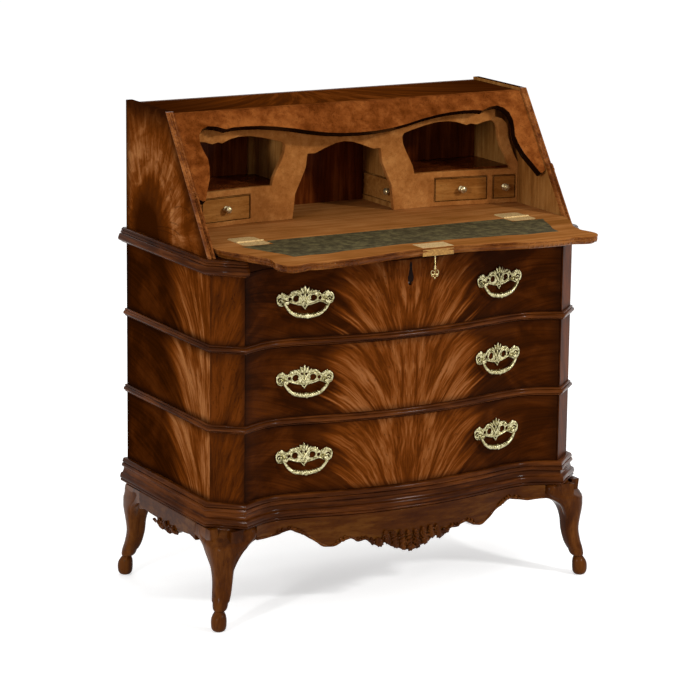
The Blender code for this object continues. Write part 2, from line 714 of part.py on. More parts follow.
def make_slope_moulding(material):
    """Raised moulding on the sloping edge of the side, thicker below its collar."""
    foot = Vector((-SLOPE_FOOT_DEPTH, WAIST_TOP + TOUCH_GAP))
    up = Vector((SLOPE_COSINE, SLOPE_SINE))
    out = Vector((-SLOPE_SINE, SLOPE_COSINE))

    def place(reach, rise):
        point = foot + up * reach + out * rise
        return (-point.x, point.y)

    def at_height(height, rise):
        reach = (height - foot.y - rise * SLOPE_COSINE) / SLOPE_SINE
        return place(reach, rise)

    collar_end = COLLAR_START + COLLAR_LENGTH
    outline = [
        at_height(foot.y, TOUCH_GAP), at_height(foot.y, SLOPE_MOULDING_LOWER_RISE),
        place(COLLAR_START, SLOPE_MOULDING_LOWER_RISE), place(COLLAR_START, COLLAR_RISE),
        place(collar_end, COLLAR_RISE), place(collar_end, SLOPE_MOULDING_UPPER_RISE),
        at_height(CASE_HEIGHT, SLOPE_MOULDING_UPPER_RISE), at_height(CASE_HEIGHT, TOUCH_GAP),
    ]
    inner = INNER_HALF + TOUCH_GAP
    shape = extruded(outline, inner, inner + SLOPE_MOULDING_WIDTH, in_profile)
    return new_object("slope_moulding", shape, material)


def make_mouldings(materials):
    edge = materials["dark_moulding"]
    parts = [make_string("string_lower", LOWER_RAIL, edge), make_string("string_upper", UPPER_RAIL, edge)]
    parts.append(make_base_moulding(edge))
    parts += both_sides(make_waist_moulding(edge))
    parts += both_sides(make_slope_moulding(edge))
    return parts


# Stand
def leg_ring(half, rounding, sides):
    """Square with rounded corners, as points round its middle."""
    radius = half * rounding
    flat = half - radius
    points = []
    per_corner = sides // 4
    for corner in range(4):
        middle = math.radians(45 + 90 * corner)
        centre = (math.copysign(flat, math.cos(middle)), math.copysign(flat, math.sin(middle)))
        for step in range(per_corner):
            angle = middle + math.radians(90) * ((step + 0.5) / per_corner - 0.5)
            points.append((centre[0] + radius * math.cos(angle), centre[1] + radius * math.sin(angle)))
    return points


def make_leg(name, centre_depth, forward, material):
    """Cabriole leg: a block under the case corner that sweeps in and out again to a small foot."""
    shape = bmesh.new()
    knee_x = LEG_CENTRE_X + LEG_BLOCK_HALF * KNEE_REACH_SHARE
    knee_depth = centre_depth + forward * LEG_BLOCK_HALF * KNEE_REACH_SHARE
    rings = []
    for height_share, shift_share, half_share, rounding in LEG_RING_SHARES:
        shift = shift_share * LEG_BLOCK_HALF / math.sqrt(2)
        centre = (knee_x + shift, knee_depth + forward * shift)
        ring = leg_ring(half_share * LEG_BLOCK_HALF, rounding, LEG_SIDES)
        height = height_share * STAND_HEIGHT
        rings.append([shape.verts.new(in_plan(centre[0] + a, centre[1] + b, height)) for a, b in ring])
    for before, after in zip(rings, rings[1:]):
        for index in range(LEG_SIDES):
            following = (index + 1) % LEG_SIDES
            shape.faces.new((before[index], before[following], after[following], after[index]))
    shape.faces.new(rings[0])
    shape.faces.new(rings[-1])
    return new_object(name, shape, material, LEG_SMOOTHING)


def make_front_apron(material):
    """Shaped rail under the front, bent to the serpentine line."""
    lower = [(a * APRON_HALF, STAND_HEIGHT - b * FRONT_APRON_DROP) for a, b in FRONT_APRON_SHARES]
    outline = mirror_half(list(reversed(lower)))
    outline = [(-APRON_HALF, STAND_HEIGHT)] + list(reversed(outline)) + [(APRON_HALF, STAND_HEIGHT)]
    shape = extruded(outline, STAND_PROJECTION - APRON_THICKNESS, STAND_PROJECTION, in_elevation)
    stations = [x for x, _ in FACE_STATIONS if abs(x) < APRON_HALF - TOUCH_GAP]
    return new_object("apron_front", bent_back(shape, stations, face_depth), material)


def make_side_apron(material):
    """Shaped rail under the side, between the two leg blocks."""
    back = LEG_CENTRE_BACK + LEG_BLOCK_HALF + TOUCH_GAP
    front = LEG_CENTRE_FRONT - LEG_BLOCK_HALF - TOUCH_GAP
    middle = (back + front) / 2
    half = (front - back) / 2
    lower = [(a * half, STAND_HEIGHT - b * SIDE_APRON_DROP) for a, b in SIDE_APRON_SHARES]
    outline = [(middle + a, b) for a, b in mirror_half(list(reversed(lower)))]
    outline += [(back, STAND_HEIGHT), (front, STAND_HEIGHT)]
    outer = CASE_HALF_WIDTH + STAND_PROJECTION
    shape = extruded(outline, outer - APRON_THICKNESS, outer, in_profile)
    return new_object("apron", shape, material)


def make_back_rail(material):
    low = (-APRON_HALF, 0.0, STAND_HEIGHT - BACK_RAIL_HEIGHT)
    return new_object("back_rail", box(low, (APRON_HALF, APRON_THICKNESS, STAND_HEIGHT)), material)


def make_stand(materials):
    edge = materials["stand_wood"]
    parts = both_sides(make_leg("leg_front", LEG_CENTRE_FRONT, 1, edge))
    parts += both_sides(make_leg("leg_back", LEG_CENTRE_BACK, -1, edge))
    parts += both_sides(make_side_apron(edge))
    parts.append(make_front_apron(edge))
    parts.append(make_back_rail(edge))
    return parts


# Sloping front and fall
def lid_line():
    """Half outline of the fall from its hinge corner to the middle of its front."""
    return scaled(LID_SHARES, LID_HALF_WIDTH, LID_REACH)


def make_slope_frame(material):
    """Frame round the fall, in the slope, with a horn down each side."""
    opening = [point for point in lid_line() if point[1] > HORN_POINT_SHARE * LID_REACH]
    opening = offset_line(opening, -LID_CLEARANCE)
    opening[-1] = (0.0, LID_FRONT + LID_CLEARANCE)
    horn_middle = (opening[0][0] + BOARD_HALF) / 2
    horn = [
        (BOARD_HALF, FRAME_HORN_RISE + FRAME_HORN_ROUND),
        (horn_middle + FRAME_HORN_ROUND / 2, FRAME_HORN_RISE),
        (horn_middle - FRAME_HORN_ROUND / 2, FRAME_HORN_RISE),
    ]
    outer_rise = LID_INSET
    inner_rise = LID_INSET - FRAME_THICKNESS

    def layer(rise):
        top = (TOP_SURFACE - BED_TOP - rise * SLOPE_COSINE) / SLOPE_SINE
        outline = mirror_half([(BOARD_HALF, top)] + horn + opening)
        return [on_slope(across, reach, rise) for across, reach in outline]

    return new_object("slope_frame", solid_between(layer(inner_rise), layer(outer_rise)), material)


def hinge_leaf_outline(length, start):
    """Half of a hinge in plan as (across, reach), with two clipped corners at its far end."""
    left = HINGE_INNER_X
    right = HINGE_INNER_X + HINGE_WIDTH
    return [
        (left, start), (right, start), (right, length - LEAF_CORNER), (right - LEAF_CORNER, length),
        (left + LEAF_CORNER, length), (left, length - LEAF_CORNER),
    ]


def leaf_prism(outline, direction, grow=0.0, sink=0.0):
    """Leaf, or its pocket, lying in the top surface on one side of the hinge line."""
    middle = HINGE_INNER_X + HINGE_WIDTH / 2
    far = max(reach for _, reach in outline)
    points = []
    for across, reach in outline:
        side = math.copysign(grow, across - middle)
        lengthened = reach + (grow if reach > far / 2 else -grow)
        points.append((across + side, HINGE_DEPTH + direction * lengthened))
    over = CUT_OVERRUN if sink > 0 else 0.0
    return extruded(points, BED_TOP - HINGE_THICKNESS - sink, BED_TOP + over, in_plan)


def knuckle_groove():
    """Room for the knuckles along the hinge line."""
    start = (HINGE_INNER_X - TOUCH_GAP, -HINGE_DEPTH, BED_TOP)
    end = (HINGE_INNER_X + HINGE_WIDTH + TOUCH_GAP, -HINGE_DEPTH, BED_TOP)
    return rod(KNUCKLE_RADIUS + KNUCKLE_ROOM, start, end, PIN_SIDES)


def knuckle(first_share, last_share):
    start = (HINGE_INNER_X + first_share * HINGE_WIDTH, -HINGE_DEPTH, BED_TOP)
    end = (HINGE_INNER_X + last_share * HINGE_WIDTH, -HINGE_DEPTH, BED_TOP)
    return rod(KNUCKLE_RADIUS, start, end, PIN_SIDES)


def knuckle_web(first_share, last_share, direction):
    """Strip that ties a knuckle to its leaf."""
    leaf_start = KNUCKLE_RADIUS + KNUCKLE_ROOM
    start = HINGE_INNER_X + first_share * HINGE_WIDTH
    end = HINGE_INNER_X + last_share * HINGE_WIDTH
    depths = sorted((HINGE_DEPTH, HINGE_DEPTH + direction * (leaf_start + HINGE_THICKNESS)))
    return box((start, depths[0], BED_TOP - HINGE_THICKNESS), (end, depths[1], BED_TOP))


def make_hinge(material):
    """Desk hinge: bed leaf with the middle knuckle, lid leaf with the outer two and the pin."""
    leaf_start = KNUCKLE_RADIUS + KNUCKLE_ROOM
    gap_share = TOUCH_GAP / HINGE_WIDTH
    middle = (KNUCKLE_END_SHARE + gap_share, 1 - KNUCKLE_END_SHARE - gap_share)
    ends = ((0.0, KNUCKLE_END_SHARE), (1 - KNUCKLE_END_SHARE, 1.0))
    bed_leaf = new_object(
        "hinge_bed_leaf", leaf_prism(hinge_leaf_outline(BED_LEAF_LENGTH, leaf_start), -1), material
    )
    combine(bed_leaf, knuckle_web(*middle, -1), "UNION")
    combine(bed_leaf, knuckle(*middle), "UNION")
    pin_start = (HINGE_INNER_X, -HINGE_DEPTH, BED_TOP)
    pin_end = (HINGE_INNER_X + HINGE_WIDTH, -HINGE_DEPTH, BED_TOP)
    combine(bed_leaf, rod(PIN_RADIUS + PIN_ROOM, pin_start, pin_end, PIN_SIDES), "DIFFERENCE")
    lid_leaf = new_object(
        "hinge_lid_leaf", leaf_prism(hinge_leaf_outline(LID_LEAF_LENGTH, leaf_start), 1), material
    )
    for span in ends:
        combine(lid_leaf, knuckle_web(*span, 1), "UNION")
        combine(lid_leaf, knuckle(*span), "UNION")
    combine(lid_leaf, rod(PIN_RADIUS, pin_start, pin_end, PIN_SIDES), "UNION")
    set_pivot(lid_leaf, (0.0, -HINGE_DEPTH, BED_TOP))
    return both_sides(bed_leaf) + both_sides(lid_leaf)


def cut_for_hinges(board, direction, leaf_length):
    """Pockets for both leaves and the grooves for their knuckles."""
    outline = hinge_leaf_outline(leaf_length, KNUCKLE_RADIUS)
    for side in (1, -1):
        for shape in (leaf_prism(outline, direction, TOUCH_GAP, TOUCH_GAP), knuckle_groove()):
            if side < 0:
                bmesh.ops.scale(shape, verts=shape.verts, vec=(-1, 1, 1))
            combine(board, shape, "DIFFERENCE")


def make_desk_bed(material):
    low = (-BOARD_HALF, BOARD_BACK, WAIST_TOP + TOUCH_GAP)
    bed = new_object("desk_bed", box(low, (BOARD_HALF, HINGE_DEPTH - TOUCH_GAP, BED_TOP)), material)
    cut_for_hinges(bed, -1, BED_LEAF_LENGTH)
    return bed


def leather_line(grow):
    """Whole outline of the writing surface as (across, reach)."""
    back = LEATHER_BACK_SHARE * LID_REACH
    beside_hinge = HINGE_INNER_X - LEATHER_HINGE_MARGIN
    before_hinge = LID_LEAF_LENGTH + LEATHER_HINGE_MARGIN
    half = [(0.0, back), (beside_hinge, back), (beside_hinge, before_hinge)]
    half = offset_line(half + scaled(LEATHER_SHARES, LID_HALF_WIDTH, LID_REACH), -grow)
    half[0] = (0.0, back - grow)
    half[-1] = (0.0, LEATHER_SHARES[-1][1] * LID_REACH + grow)
    left = [(-across, reach) for across, reach in reversed(half[1:-1])]
    return [(across, HINGE_DEPTH + reach) for across, reach in half + left]


def lock_boxes(grow):
    """Top and edge plates of the fall's lock, or the recess for them."""
    half = LID_LOCK_HALF_WIDTH + grow
    edge = HINGE_DEPTH + LID_FRONT - LID_LOCK_SINK
    over = CUT_OVERRUN if grow > 0 else 0.0
    start = edge - LID_LOCK_LENGTH - grow
    plate = edge + TOUCH_GAP + LID_LOCK_THICKNESS
    top = box((-half, start, BED_TOP - LID_LOCK_THICKNESS - grow), (half, plate + over, BED_TOP + over))
    bottom = LID_BOTTOM - over
    front = box((-half, edge + TOUCH_GAP - grow, bottom), (half, plate + over, BED_TOP + over))
    return top, front


def key_place():
    return (0.0, -(HINGE_DEPTH + LID_FRONT - KEY_SETBACK))


def make_lid(material):
    """Fall with its pockets for the leather, hinges, lock and key."""
    half = [(across, max(reach, TOUCH_GAP)) for across, reach in lid_line()]
    outline = [(across, HINGE_DEPTH + reach) for across, reach in mirror_half(half)]
    lid = new_object("fall_lid", extruded(outline, LID_BOTTOM, BED_TOP, in_plan), material)
    cut_for_hinges(lid, 1, LID_LEAF_LENGTH)
    recess = extruded(leather_line(TOUCH_GAP), BED_TOP - LEATHER_SINK, BED_TOP + CUT_OVERRUN, in_plan)
    combine(lid, recess, "DIFFERENCE")
    for shape in lock_boxes(TOUCH_GAP):
        combine(lid, shape, "DIFFERENCE")
    x, y = key_place()
    mouth = (x, y, LID_BOTTOM - CUT_OVERRUN)
    keyhole = rod(KEY_SHAFT_RADIUS + KEY_ROOM, mouth, (x, y, LID_BOTTOM + KEY_ENTRY), PIN_SIDES)
    combine(lid, keyhole, "DIFFERENCE")
    return lid


def make_leather(material):
    top = BED_TOP - LEATHER_SINK + TOUCH_GAP + LEATHER_THICKNESS
    bottom = BED_TOP - LEATHER_SINK + TOUCH_GAP
    return new_object("leather_panel", extruded(leather_line(0.0), bottom, top, in_plan), material)


def make_lid_lock(material):
    top, front = lock_boxes(0.0)
    return combine(new_object("fall_lock_plate", top, material), front, "UNION")


def make_key(material):
    """Key hanging from the lock: shaft, collar and a pierced bow."""
    x, y = key_place()
    collar_top = LID_BOTTOM - KEY_SHAFT_LENGTH
    collar_bottom = collar_top - KEY_COLLAR_HEIGHT
    shaft_top = LID_BOTTOM + KEY_ENTRY - RUNNING_GAP
    profile = [
        (KEY_SHAFT_RADIUS, shaft_top), (KEY_SHAFT_RADIUS, collar_top), (KEY_COLLAR_RADIUS, collar_top),
        (KEY_COLLAR_RADIUS, collar_bottom), (KEY_SHAFT_RADIUS, collar_bottom - KEY_COLLAR_HEIGHT),
    ]
    key = new_object("fall_key", turned(profile, PIN_SIDES, (x, y, 0.0), (0, 0, 1)), material)
    bow_middle = collar_bottom - KEY_BOW_RADIUS
    rim = round_points(KEY_BOW_RADIUS, KEY_BOW_SIDES, (x, bow_middle))
    hole = round_points(KEY_BOW_HOLE_RADIUS, KEY_BOW_SIDES, (x, bow_middle))
    half = KEY_BOW_THICKNESS / 2
    combine(key, pierced(rim, [hole], -y - half, -y + half, in_elevation), "UNION")
    return set_pivot(key, (x, y, LID_BOTTOM))


def make_fall(materials):
    inside, brass = materials["desk_wood"], materials["hinge_brass"]
    pin = (0.0, -HINGE_DEPTH, BED_TOP)
    parts = [make_slope_frame(materials["frame_burr"]), make_desk_bed(inside)]
    parts.append(set_pivot(make_lid(inside), pin))
    parts.append(set_pivot(make_leather(materials["desk_leather"]), pin))
    parts.append(set_pivot(make_lid_lock(brass), pin))
    parts.append(make_key(materials["key_metal"]))
    parts += make_hinge(brass)
    return parts


# Fitted interior
def gallery_face(across):
    """Depth of the gallery front: straight in the middle, coming forward at the wings."""
    beyond = max(abs(across) - GALLERY_WING_START, 0.0)
    return GALLERY_DEPTH + GALLERY_WING_SPREAD * beyond / (INNER_HALF - GALLERY_WING_START)


def rectangle(left, right, bottom, top):
    return [(left, bottom), (right, bottom), (right, top), (left, top)]


def flipped(points):
    return [(-across, other) for across, other in points]


def make_gallery_front(material):
    """Shaped front board with the arch, two side openings and the openings of four drawers."""
    rise = GALLERY_TOP - GALLERY_BOTTOM
    above_shelf = GALLERY_TOP - SHELF_TOP
    arch = [(a * DIVIDER_HALF_SPACING, GALLERY_BOTTOM + b * rise) for a, b in CENTRE_OPENING_SHARES]
    shoulder = [
        (min(a * INNER_HALF, BOARD_HALF), SHELF_TOP + b * above_shelf) for a, b in GALLERY_SHOULDER_SHARES
    ]
    right = [(shoulder[-1][0], GALLERY_TOP)] + list(reversed(shoulder))
    right += [(BOARD_HALF, GALLERY_BOTTOM)] + arch
    outline = mirror_half(right)
    opening = [(a * INNER_HALF, SHELF_TOP + b * above_shelf) for a, b in SIDE_OPENING_SHARES]
    wide = rectangle(WIDE_CELL_START, WIDE_CELL_END, CELL_BOTTOM, CELL_TOP)
    tiny = rectangle(TINY_CELL_START, TINY_CELL_END, CELL_BOTTOM, CELL_TOP)
    holes = [opening, wide, tiny]
    holes += [flipped(hole) for hole in holes]
    shape = pierced(outline, holes, -GALLERY_THICKNESS, 0.0, in_elevation)
    bends = (-GALLERY_WING_START, GALLERY_WING_START)
    return new_object("gallery_front", bent_back(shape, bends, gallery_face), material)


def make_gallery_case(material):
    """Divider, shelf, floor and partitions of one side, behind the gallery front."""
    inner = DIVIDER_HALF_SPACING
    outer = inner + DIVIDER_THICKNESS
    outline = [
        (inner, GALLERY_BOTTOM), (BOARD_HALF, GALLERY_BOTTOM), (BOARD_HALF, SHELF_TOP), (outer, SHELF_TOP),
        (outer, GALLERY_TOP), (inner, GALLERY_TOP), (inner, CELL_TOP), (SIDE_CELL_END, CELL_TOP),
        (SIDE_CELL_END, CELL_BOTTOM), (inner, CELL_BOTTOM),
    ]
    front = GALLERY_DEPTH - GALLERY_THICKNESS - TOUCH_GAP
    case = new_object("gallery_case", extruded(outline, BOARD_BACK, front, in_elevation), material)
    for start, end in ((WIDE_CELL_START, WIDE_CELL_END), (TINY_CELL_START, TINY_CELL_END)):
        low = (start, BOARD_BACK - CUT_OVERRUN, CELL_BOTTOM)
        combine(case, box(low, (end, front + CUT_OVERRUN, CELL_TOP)), "DIFFERENCE")
    low = (outer - DIVIDER_THICKNESS / 2, BOARD_BACK, SHELF_TOP - SHELF_THICKNESS / 2)
    high = (outer + PILASTER_WIDTH, BOARD_BACK + PILASTER_THICKNESS, GALLERY_TOP)
    return combine(case, box(low, high), "UNION")


def knob_shape(centre, axis):
    profile = [(radius * KNOB_RADIUS, distance * KNOB_LENGTH) for radius, distance in KNOB_SHARES]
    profile[0] = (profile[0][0], -SMALL_FRONT_THICKNESS / 2)
    return turned(profile, KNOB_SIDES, centre, axis)


def make_small_drawer(name, start, end, material):
    """Drawer behind the gallery front, its face following the board and with a turned knob."""
    left = start + RUNNING_GAP
    right = end - RUNNING_GAP
    bottom = CELL_BOTTOM + TOUCH_GAP
    top = CELL_TOP - RUNNING_GAP
    places = [left] + [GALLERY_WING_START] * (left < GALLERY_WING_START < right) + [right]
    face = [(x, gallery_face(x)) for x in places]
    back = [(right, SMALL_BACK_DEPTH), (left, SMALL_BACK_DEPTH)]
    drawer = new_object(name, extruded(face + back, bottom, top, in_plan), material)
    inner_left = left + SMALL_WALL
    inner_right = right - SMALL_WALL
    inside = [(min(max(x, inner_left), inner_right), d - SMALL_FRONT_THICKNESS) for x, d in face]
    deep = SMALL_BACK_DEPTH + SMALL_WALL
    inside += [(inner_right, deep), (inner_left, deep)]
    pocket = extruded(inside, bottom + SMALL_WALL, top + CUT_OVERRUN, in_plan)
    combine(drawer, pocket, "DIFFERENCE")
    lowest = min(gallery_face(left), gallery_face(right)) - SMALL_FRONT_THICKNESS
    trim_low = (left - CUT_OVERRUN, SMALL_BACK_DEPTH - CUT_OVERRUN, top - SMALL_SIDE_DROP)
    trim_high = (right + CUT_OVERRUN, lowest, top + CUT_OVERRUN)
    combine(drawer, box(trim_low, trim_high), "DIFFERENCE")
    middle = (left + right) / 2
    knob_at = (middle, -gallery_face(middle), (bottom + top) / 2)
    combine(drawer, knob_shape(knob_at, (0, -1, 0)), "UNION")
    return both_sides(set_pivot(drawer, knob_at))


def make_side_drawer(material):
    """Drawer beside the arch, that slides out across the middle opening."""
    front = GALLERY_DEPTH - GALLERY_THICKNESS - TOUCH_GAP - RUNNING_GAP
    back = BOARD_BACK + RUNNING_GAP
    start = DIVIDER_HALF_SPACING
    end = start + SIDE_DRAWER_LENGTH
    bottom = CELL_BOTTOM + TOUCH_GAP
    top = CELL_TOP - RUNNING_GAP
    drawer = new_object("side_drawer", box((start, back, bottom), (end, front, top)), material)
    inner = start + SMALL_FRONT_THICKNESS
    pocket_low = (inner, back + SMALL_WALL, bottom + SMALL_WALL)
    pocket_high = (end - SMALL_WALL, front - SMALL_WALL, top + CUT_OVERRUN)
    combine(drawer, box(pocket_low, pocket_high), "DIFFERENCE")
    trim_low = (inner, back - CUT_OVERRUN, top - SMALL_SIDE_DROP)
    trim_high = (end + CUT_OVERRUN, front + CUT_OVERRUN, top + CUT_OVERRUN)
    combine(drawer, box(trim_low, trim_high), "DIFFERENCE")
    knob_at = (start, SIDE_KNOB_SETBACK - front, (bottom + top) / 2)
    combine(drawer, knob_shape(knob_at, (-1, 0, 0)), "UNION")
    return both_sides(set_pivot(drawer, knob_at))


def make_interior(materials):
    inside = materials["small_drawer_wood"]
    parts = [make_gallery_front(materials["gallery_burr"])]
    parts += both_sides(make_gallery_case(materials["gallery_wood"]))
    parts += make_small_drawer("wide_drawer", WIDE_CELL_START, WIDE_CELL_END, inside)
    parts += make_small_drawer("tiny_drawer", TINY_CELL_START, TINY_CELL_END, inside)
    parts += make_side_drawer(inside)
    return parts


# Long drawers
def drawer_plan(half, inset, back, walls=()):
    """Plan of a drawer, its inside or the room above its sides."""
    return front_line(half, inset, walls) + [(half, back), (-half, back)]


def make_long_drawer(name, bottom, top, material):
    half = OPENING_HALF - RUNNING_GAP
    outside = drawer_plan(half, 0.0, DRAWER_BACK_DEPTH)
    drawer = new_object(name, extruded(outside, bottom, top, in_plan), material)
    inside = drawer_plan(half - DRAWER_WALL, DRAWER_FRONT_THICKNESS, DRAWER_BACK_DEPTH + DRAWER_WALL)
    combine(drawer, extruded(inside, bottom + DRAWER_BOTTOM, top + CUT_OVERRUN, in_plan), "DIFFERENCE")
    walls = (half - DRAWER_WALL, half)
    behind = DRAWER_BACK_DEPTH - CUT_OVERRUN
    above = drawer_plan(half + CUT_OVERRUN, DRAWER_FRONT_THICKNESS, behind, walls)
    combine(drawer, extruded(above, top - DRAWER_SIDE_DROP, top + CUT_OVERRUN, in_plan), "DIFFERENCE")
    return drawer


def keyhole_line(top):
    """Keyhole with a narrow slot over a round foot, as (across, height)."""
    foot = top - KEYHOLE_HEIGHT + KEYHOLE_RADIUS
    lean = math.asin(KEYHOLE_NECK / KEYHOLE_RADIUS)
    start = math.pi / 2 + lean
    arc = round_points(KEYHOLE_RADIUS, KEYHOLE_SIDES, (0.0, foot), start, math.tau - 2 * lean, False)
    return arc + [(KEYHOLE_NECK, top), (-KEYHOLE_NECK, top)]


def drawer_lock_box(top, grow):
    """Box lock let into the inner side of the top drawer's front."""
    half = LOCK_WIDTH / 2 + grow
    inner = face_depth(0.0) - DRAWER_FRONT_THICKNESS
    reach = inner + LOCK_THICKNESS + grow
    over = CUT_OVERRUN if grow > 0 else 0.0
    low = (-half, inner - LOCK_THICKNESS - over, top - LOCK_HEIGHT - grow)
    return box(low, (half, reach, top + over))


def handle_height(bottom, top):
    return bottom + (top - bottom) * HANDLE_DROP_SHARE


def make_backplate(name, height, material):
    """Shaped plate that follows the drawer front, with the two posts that carry the bail."""
    upper = [(a * PLATE_HALF_WIDTH, height + b * PLATE_RISE) for a, b in PLATE_UPPER_SHARES]
    lower = [(a * PLATE_HALF_WIDTH, height - b * PLATE_DROP) for a, b in PLATE_LOWER_SHARES]
    right = lower + upper[:-1]
    left = [(-a, b) for a, b in reversed(lower[1:] + upper)]
    outline = [(HANDLE_SPACING + a, b) for a, b in right + left]
    shape = extruded(outline, TOUCH_GAP, TOUCH_GAP + PLATE_THICKNESS, in_elevation)
    reach = PLATE_HALF_WIDTH - TOUCH_GAP
    stations = [x for x, _ in FACE_STATIONS if abs(x - HANDLE_SPACING) < reach]
    plate = new_object(name, bent_back(shape, stations, face_depth), material)
    for side in (-1, 1):
        across = HANDLE_SPACING + side * POST_SPACING
        foot = face_depth(across) + TOUCH_GAP + PLATE_THICKNESS / 2
        head = face_depth(across) + POST_LENGTH + POST_RADIUS
        post = rod(POST_RADIUS, (across, -foot, height), (across, -head, height), ROUND_SIDES)
        combine(plate, post, "UNION")
    return plate


def bail_axis():
    """Ends of the line on which a bail swings, between the middles of its posts."""
    ends = []
    for side in (-1, 1):
        across = HANDLE_SPACING + side * POST_SPACING
        ends.append(Vector((across, -(face_depth(across) + POST_LENGTH), 0.0)))
    return ends


def make_bail(name, height, material):
    """Drop handle: a round bar looped down from post to post."""
    near, far = bail_axis()
    middle = (near + far) / 2 + Vector((0, 0, height))
    along = (far - near).normalized()
    down = Vector((0, 0, -1))
    outward = along.cross(down)
    half = POST_SPACING - POST_RADIUS - BAIL_END_GAP
    right = [(a * half, b * BAIL_DROP) for a, b in BAIL_SHARES]
    path = [(-a, b) for a, b in right] + list(reversed(right))[1:]
    shape = bmesh.new()
    rings = []
    for index, (across, drop) in enumerate(path):
        before = Vector(path[max(index - 1, 0)])
        after = Vector(path[min(index + 1, len(path) - 1)])
        tangent = (after - before).normalized()
        normal = along * -tangent.y + down * tangent.x
        centre = middle + along * across + down * drop
        ring = []
        for step in range(ROUND_SIDES):
            angle = math.tau * step / ROUND_SIDES
            offset = normal * math.cos(angle) + outward * math.sin(angle)
            ring.append(shape.verts.new(centre + offset * BAIL_RADIUS))
        rings.append(ring)
    for first, second in zip(rings, rings[1:]):
        for index in range(ROUND_SIDES):
            following = (index + 1) % ROUND_SIDES
            shape.faces.new((first[index], first[following], second[following], second[index]))
    shape.faces.new(rings[0])
    shape.faces.new(rings[-1])
    return set_pivot(new_object(name, shape, material, BAIL_SMOOTHING), middle)


def make_drawers(materials):
    """The three long drawers with their handles, and the lock of the top one."""
    veneer, brass = materials["drawer_veneer"], materials["handle_brass"]
    storeys = (
        ("lower", BASE_TOP, LOWER_RAIL), ("middle", LOWER_RAIL + RAIL_THICKNESS, UPPER_RAIL),
        ("top", UPPER_RAIL + RAIL_THICKNESS, WAIST_BOTTOM),
    )
    parts = []
    for word, floor, ceiling in storeys:
        bottom = floor + TOUCH_GAP
        top = ceiling - RUNNING_GAP
        drawer = make_long_drawer("drawer_" + word, bottom, top, veneer)
        if word == "top":
            face = face_depth(0.0)
            keyhole = keyhole_line(top - KEYHOLE_TOP_DROP)
            hole = extruded(keyhole, face - KEYHOLE_SINK, face + CUT_OVERRUN, in_elevation)
            combine(drawer, hole, "DIFFERENCE")
            combine(drawer, drawer_lock_box(top - DRAWER_SIDE_DROP, TOUCH_GAP), "DIFFERENCE")
            lock = drawer_lock_box(top - DRAWER_SIDE_DROP, 0.0)
            parts.append(new_object("drawer_lock", lock, materials["lock_steel"]))
        parts.append(drawer)
        height = handle_height(bottom, top)
        parts += both_sides(make_backplate("backplate_" + word, height, brass))
        parts += both_sides(make_bail("bail_" + word, height, brass))
    return parts


def centre_on_footprint(parts):
    """Carry every part on one empty, so that the middle of the overall box is at x = y = 0."""
    root = bpy.data.objects.new("bureau_frame", None)
    bpy.context.scene.collection.objects.link(root)
    bpy.context.view_layer.update()
    ys = [(part.matrix_world @ corner.co).y for part in parts for corner in part.data.vertices]
    root.location.y = -(min(ys) + max(ys)) / 2
    for part in parts:
        part.parent = root
    bpy.context.view_layer.update()


def main():
    for old in list(bpy.data.objects):
        bpy.data.objects.remove(old)
    materials = {name: make_material(name) for name in COLOURS}
    parts = make_case(materials)
    parts += make_mouldings(materials)
    parts += make_stand(materials)
    parts += make_fall(materials)
    parts += make_interior(materials)
    parts += make_drawers(materials)
    centre_on_footprint(parts)


main()
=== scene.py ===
"""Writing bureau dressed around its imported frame: veneers, mouldings, carving, brass and leather."""
import math

import bmesh
import bpy
from mathutils import Matrix, Vector


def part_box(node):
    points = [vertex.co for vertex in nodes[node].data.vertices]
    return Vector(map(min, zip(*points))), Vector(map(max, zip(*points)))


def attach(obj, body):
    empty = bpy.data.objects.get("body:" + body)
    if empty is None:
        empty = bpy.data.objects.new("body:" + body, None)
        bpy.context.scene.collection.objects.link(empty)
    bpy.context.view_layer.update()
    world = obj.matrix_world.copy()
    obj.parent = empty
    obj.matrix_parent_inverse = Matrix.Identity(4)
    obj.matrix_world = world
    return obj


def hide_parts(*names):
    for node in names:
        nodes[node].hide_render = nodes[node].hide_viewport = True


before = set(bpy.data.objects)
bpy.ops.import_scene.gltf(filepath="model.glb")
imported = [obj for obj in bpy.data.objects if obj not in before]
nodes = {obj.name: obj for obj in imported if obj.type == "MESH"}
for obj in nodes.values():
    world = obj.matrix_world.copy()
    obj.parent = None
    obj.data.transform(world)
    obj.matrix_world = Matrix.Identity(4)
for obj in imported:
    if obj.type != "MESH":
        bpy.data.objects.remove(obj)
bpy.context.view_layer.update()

# Sizes repeated from the case, in metres
BACK_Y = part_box("back_panel")[1].y
CASE_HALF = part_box("side_right")[1].x
SIDE_DEPTH = BACK_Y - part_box("side_right")[0].y
FRONT_HALF = 0.386
FRONT_DEPTH = 0.449
FRONT_DIP = 0.03
FRONT_SHARES = (
    (0.0, -0.32), (0.13, -0.28), (0.26, -0.12), (0.39, 0.14), (0.52, 0.47), (0.62, 0.76),
    (0.7, 0.94), (0.76, 1.0), (0.82, 0.95), (0.88, 0.74), (0.94, 0.4), (1.0, 0.0),
)
FRONT_FACETS = 12
BASE_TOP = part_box("case_bottom")[1].z
LOWER_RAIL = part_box("dust_board_lower")
UPPER_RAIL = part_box("dust_board_upper")
BED_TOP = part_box("desk_bed")[1].z
OPENING_HALF = 0.384
GAP = 0.0003


# Selecting and editing
def only(piece):
    """Select one piece and make it active."""
    bpy.ops.object.select_all(action="DESELECT")
    piece.select_set(True)
    bpy.context.view_layer.objects.active = piece


def edit(piece):
    only(piece)
    bpy.ops.object.mode_set(mode="EDIT")
    bpy.ops.mesh.select_mode(type="FACE")
    bpy.ops.mesh.select_all(action="SELECT")


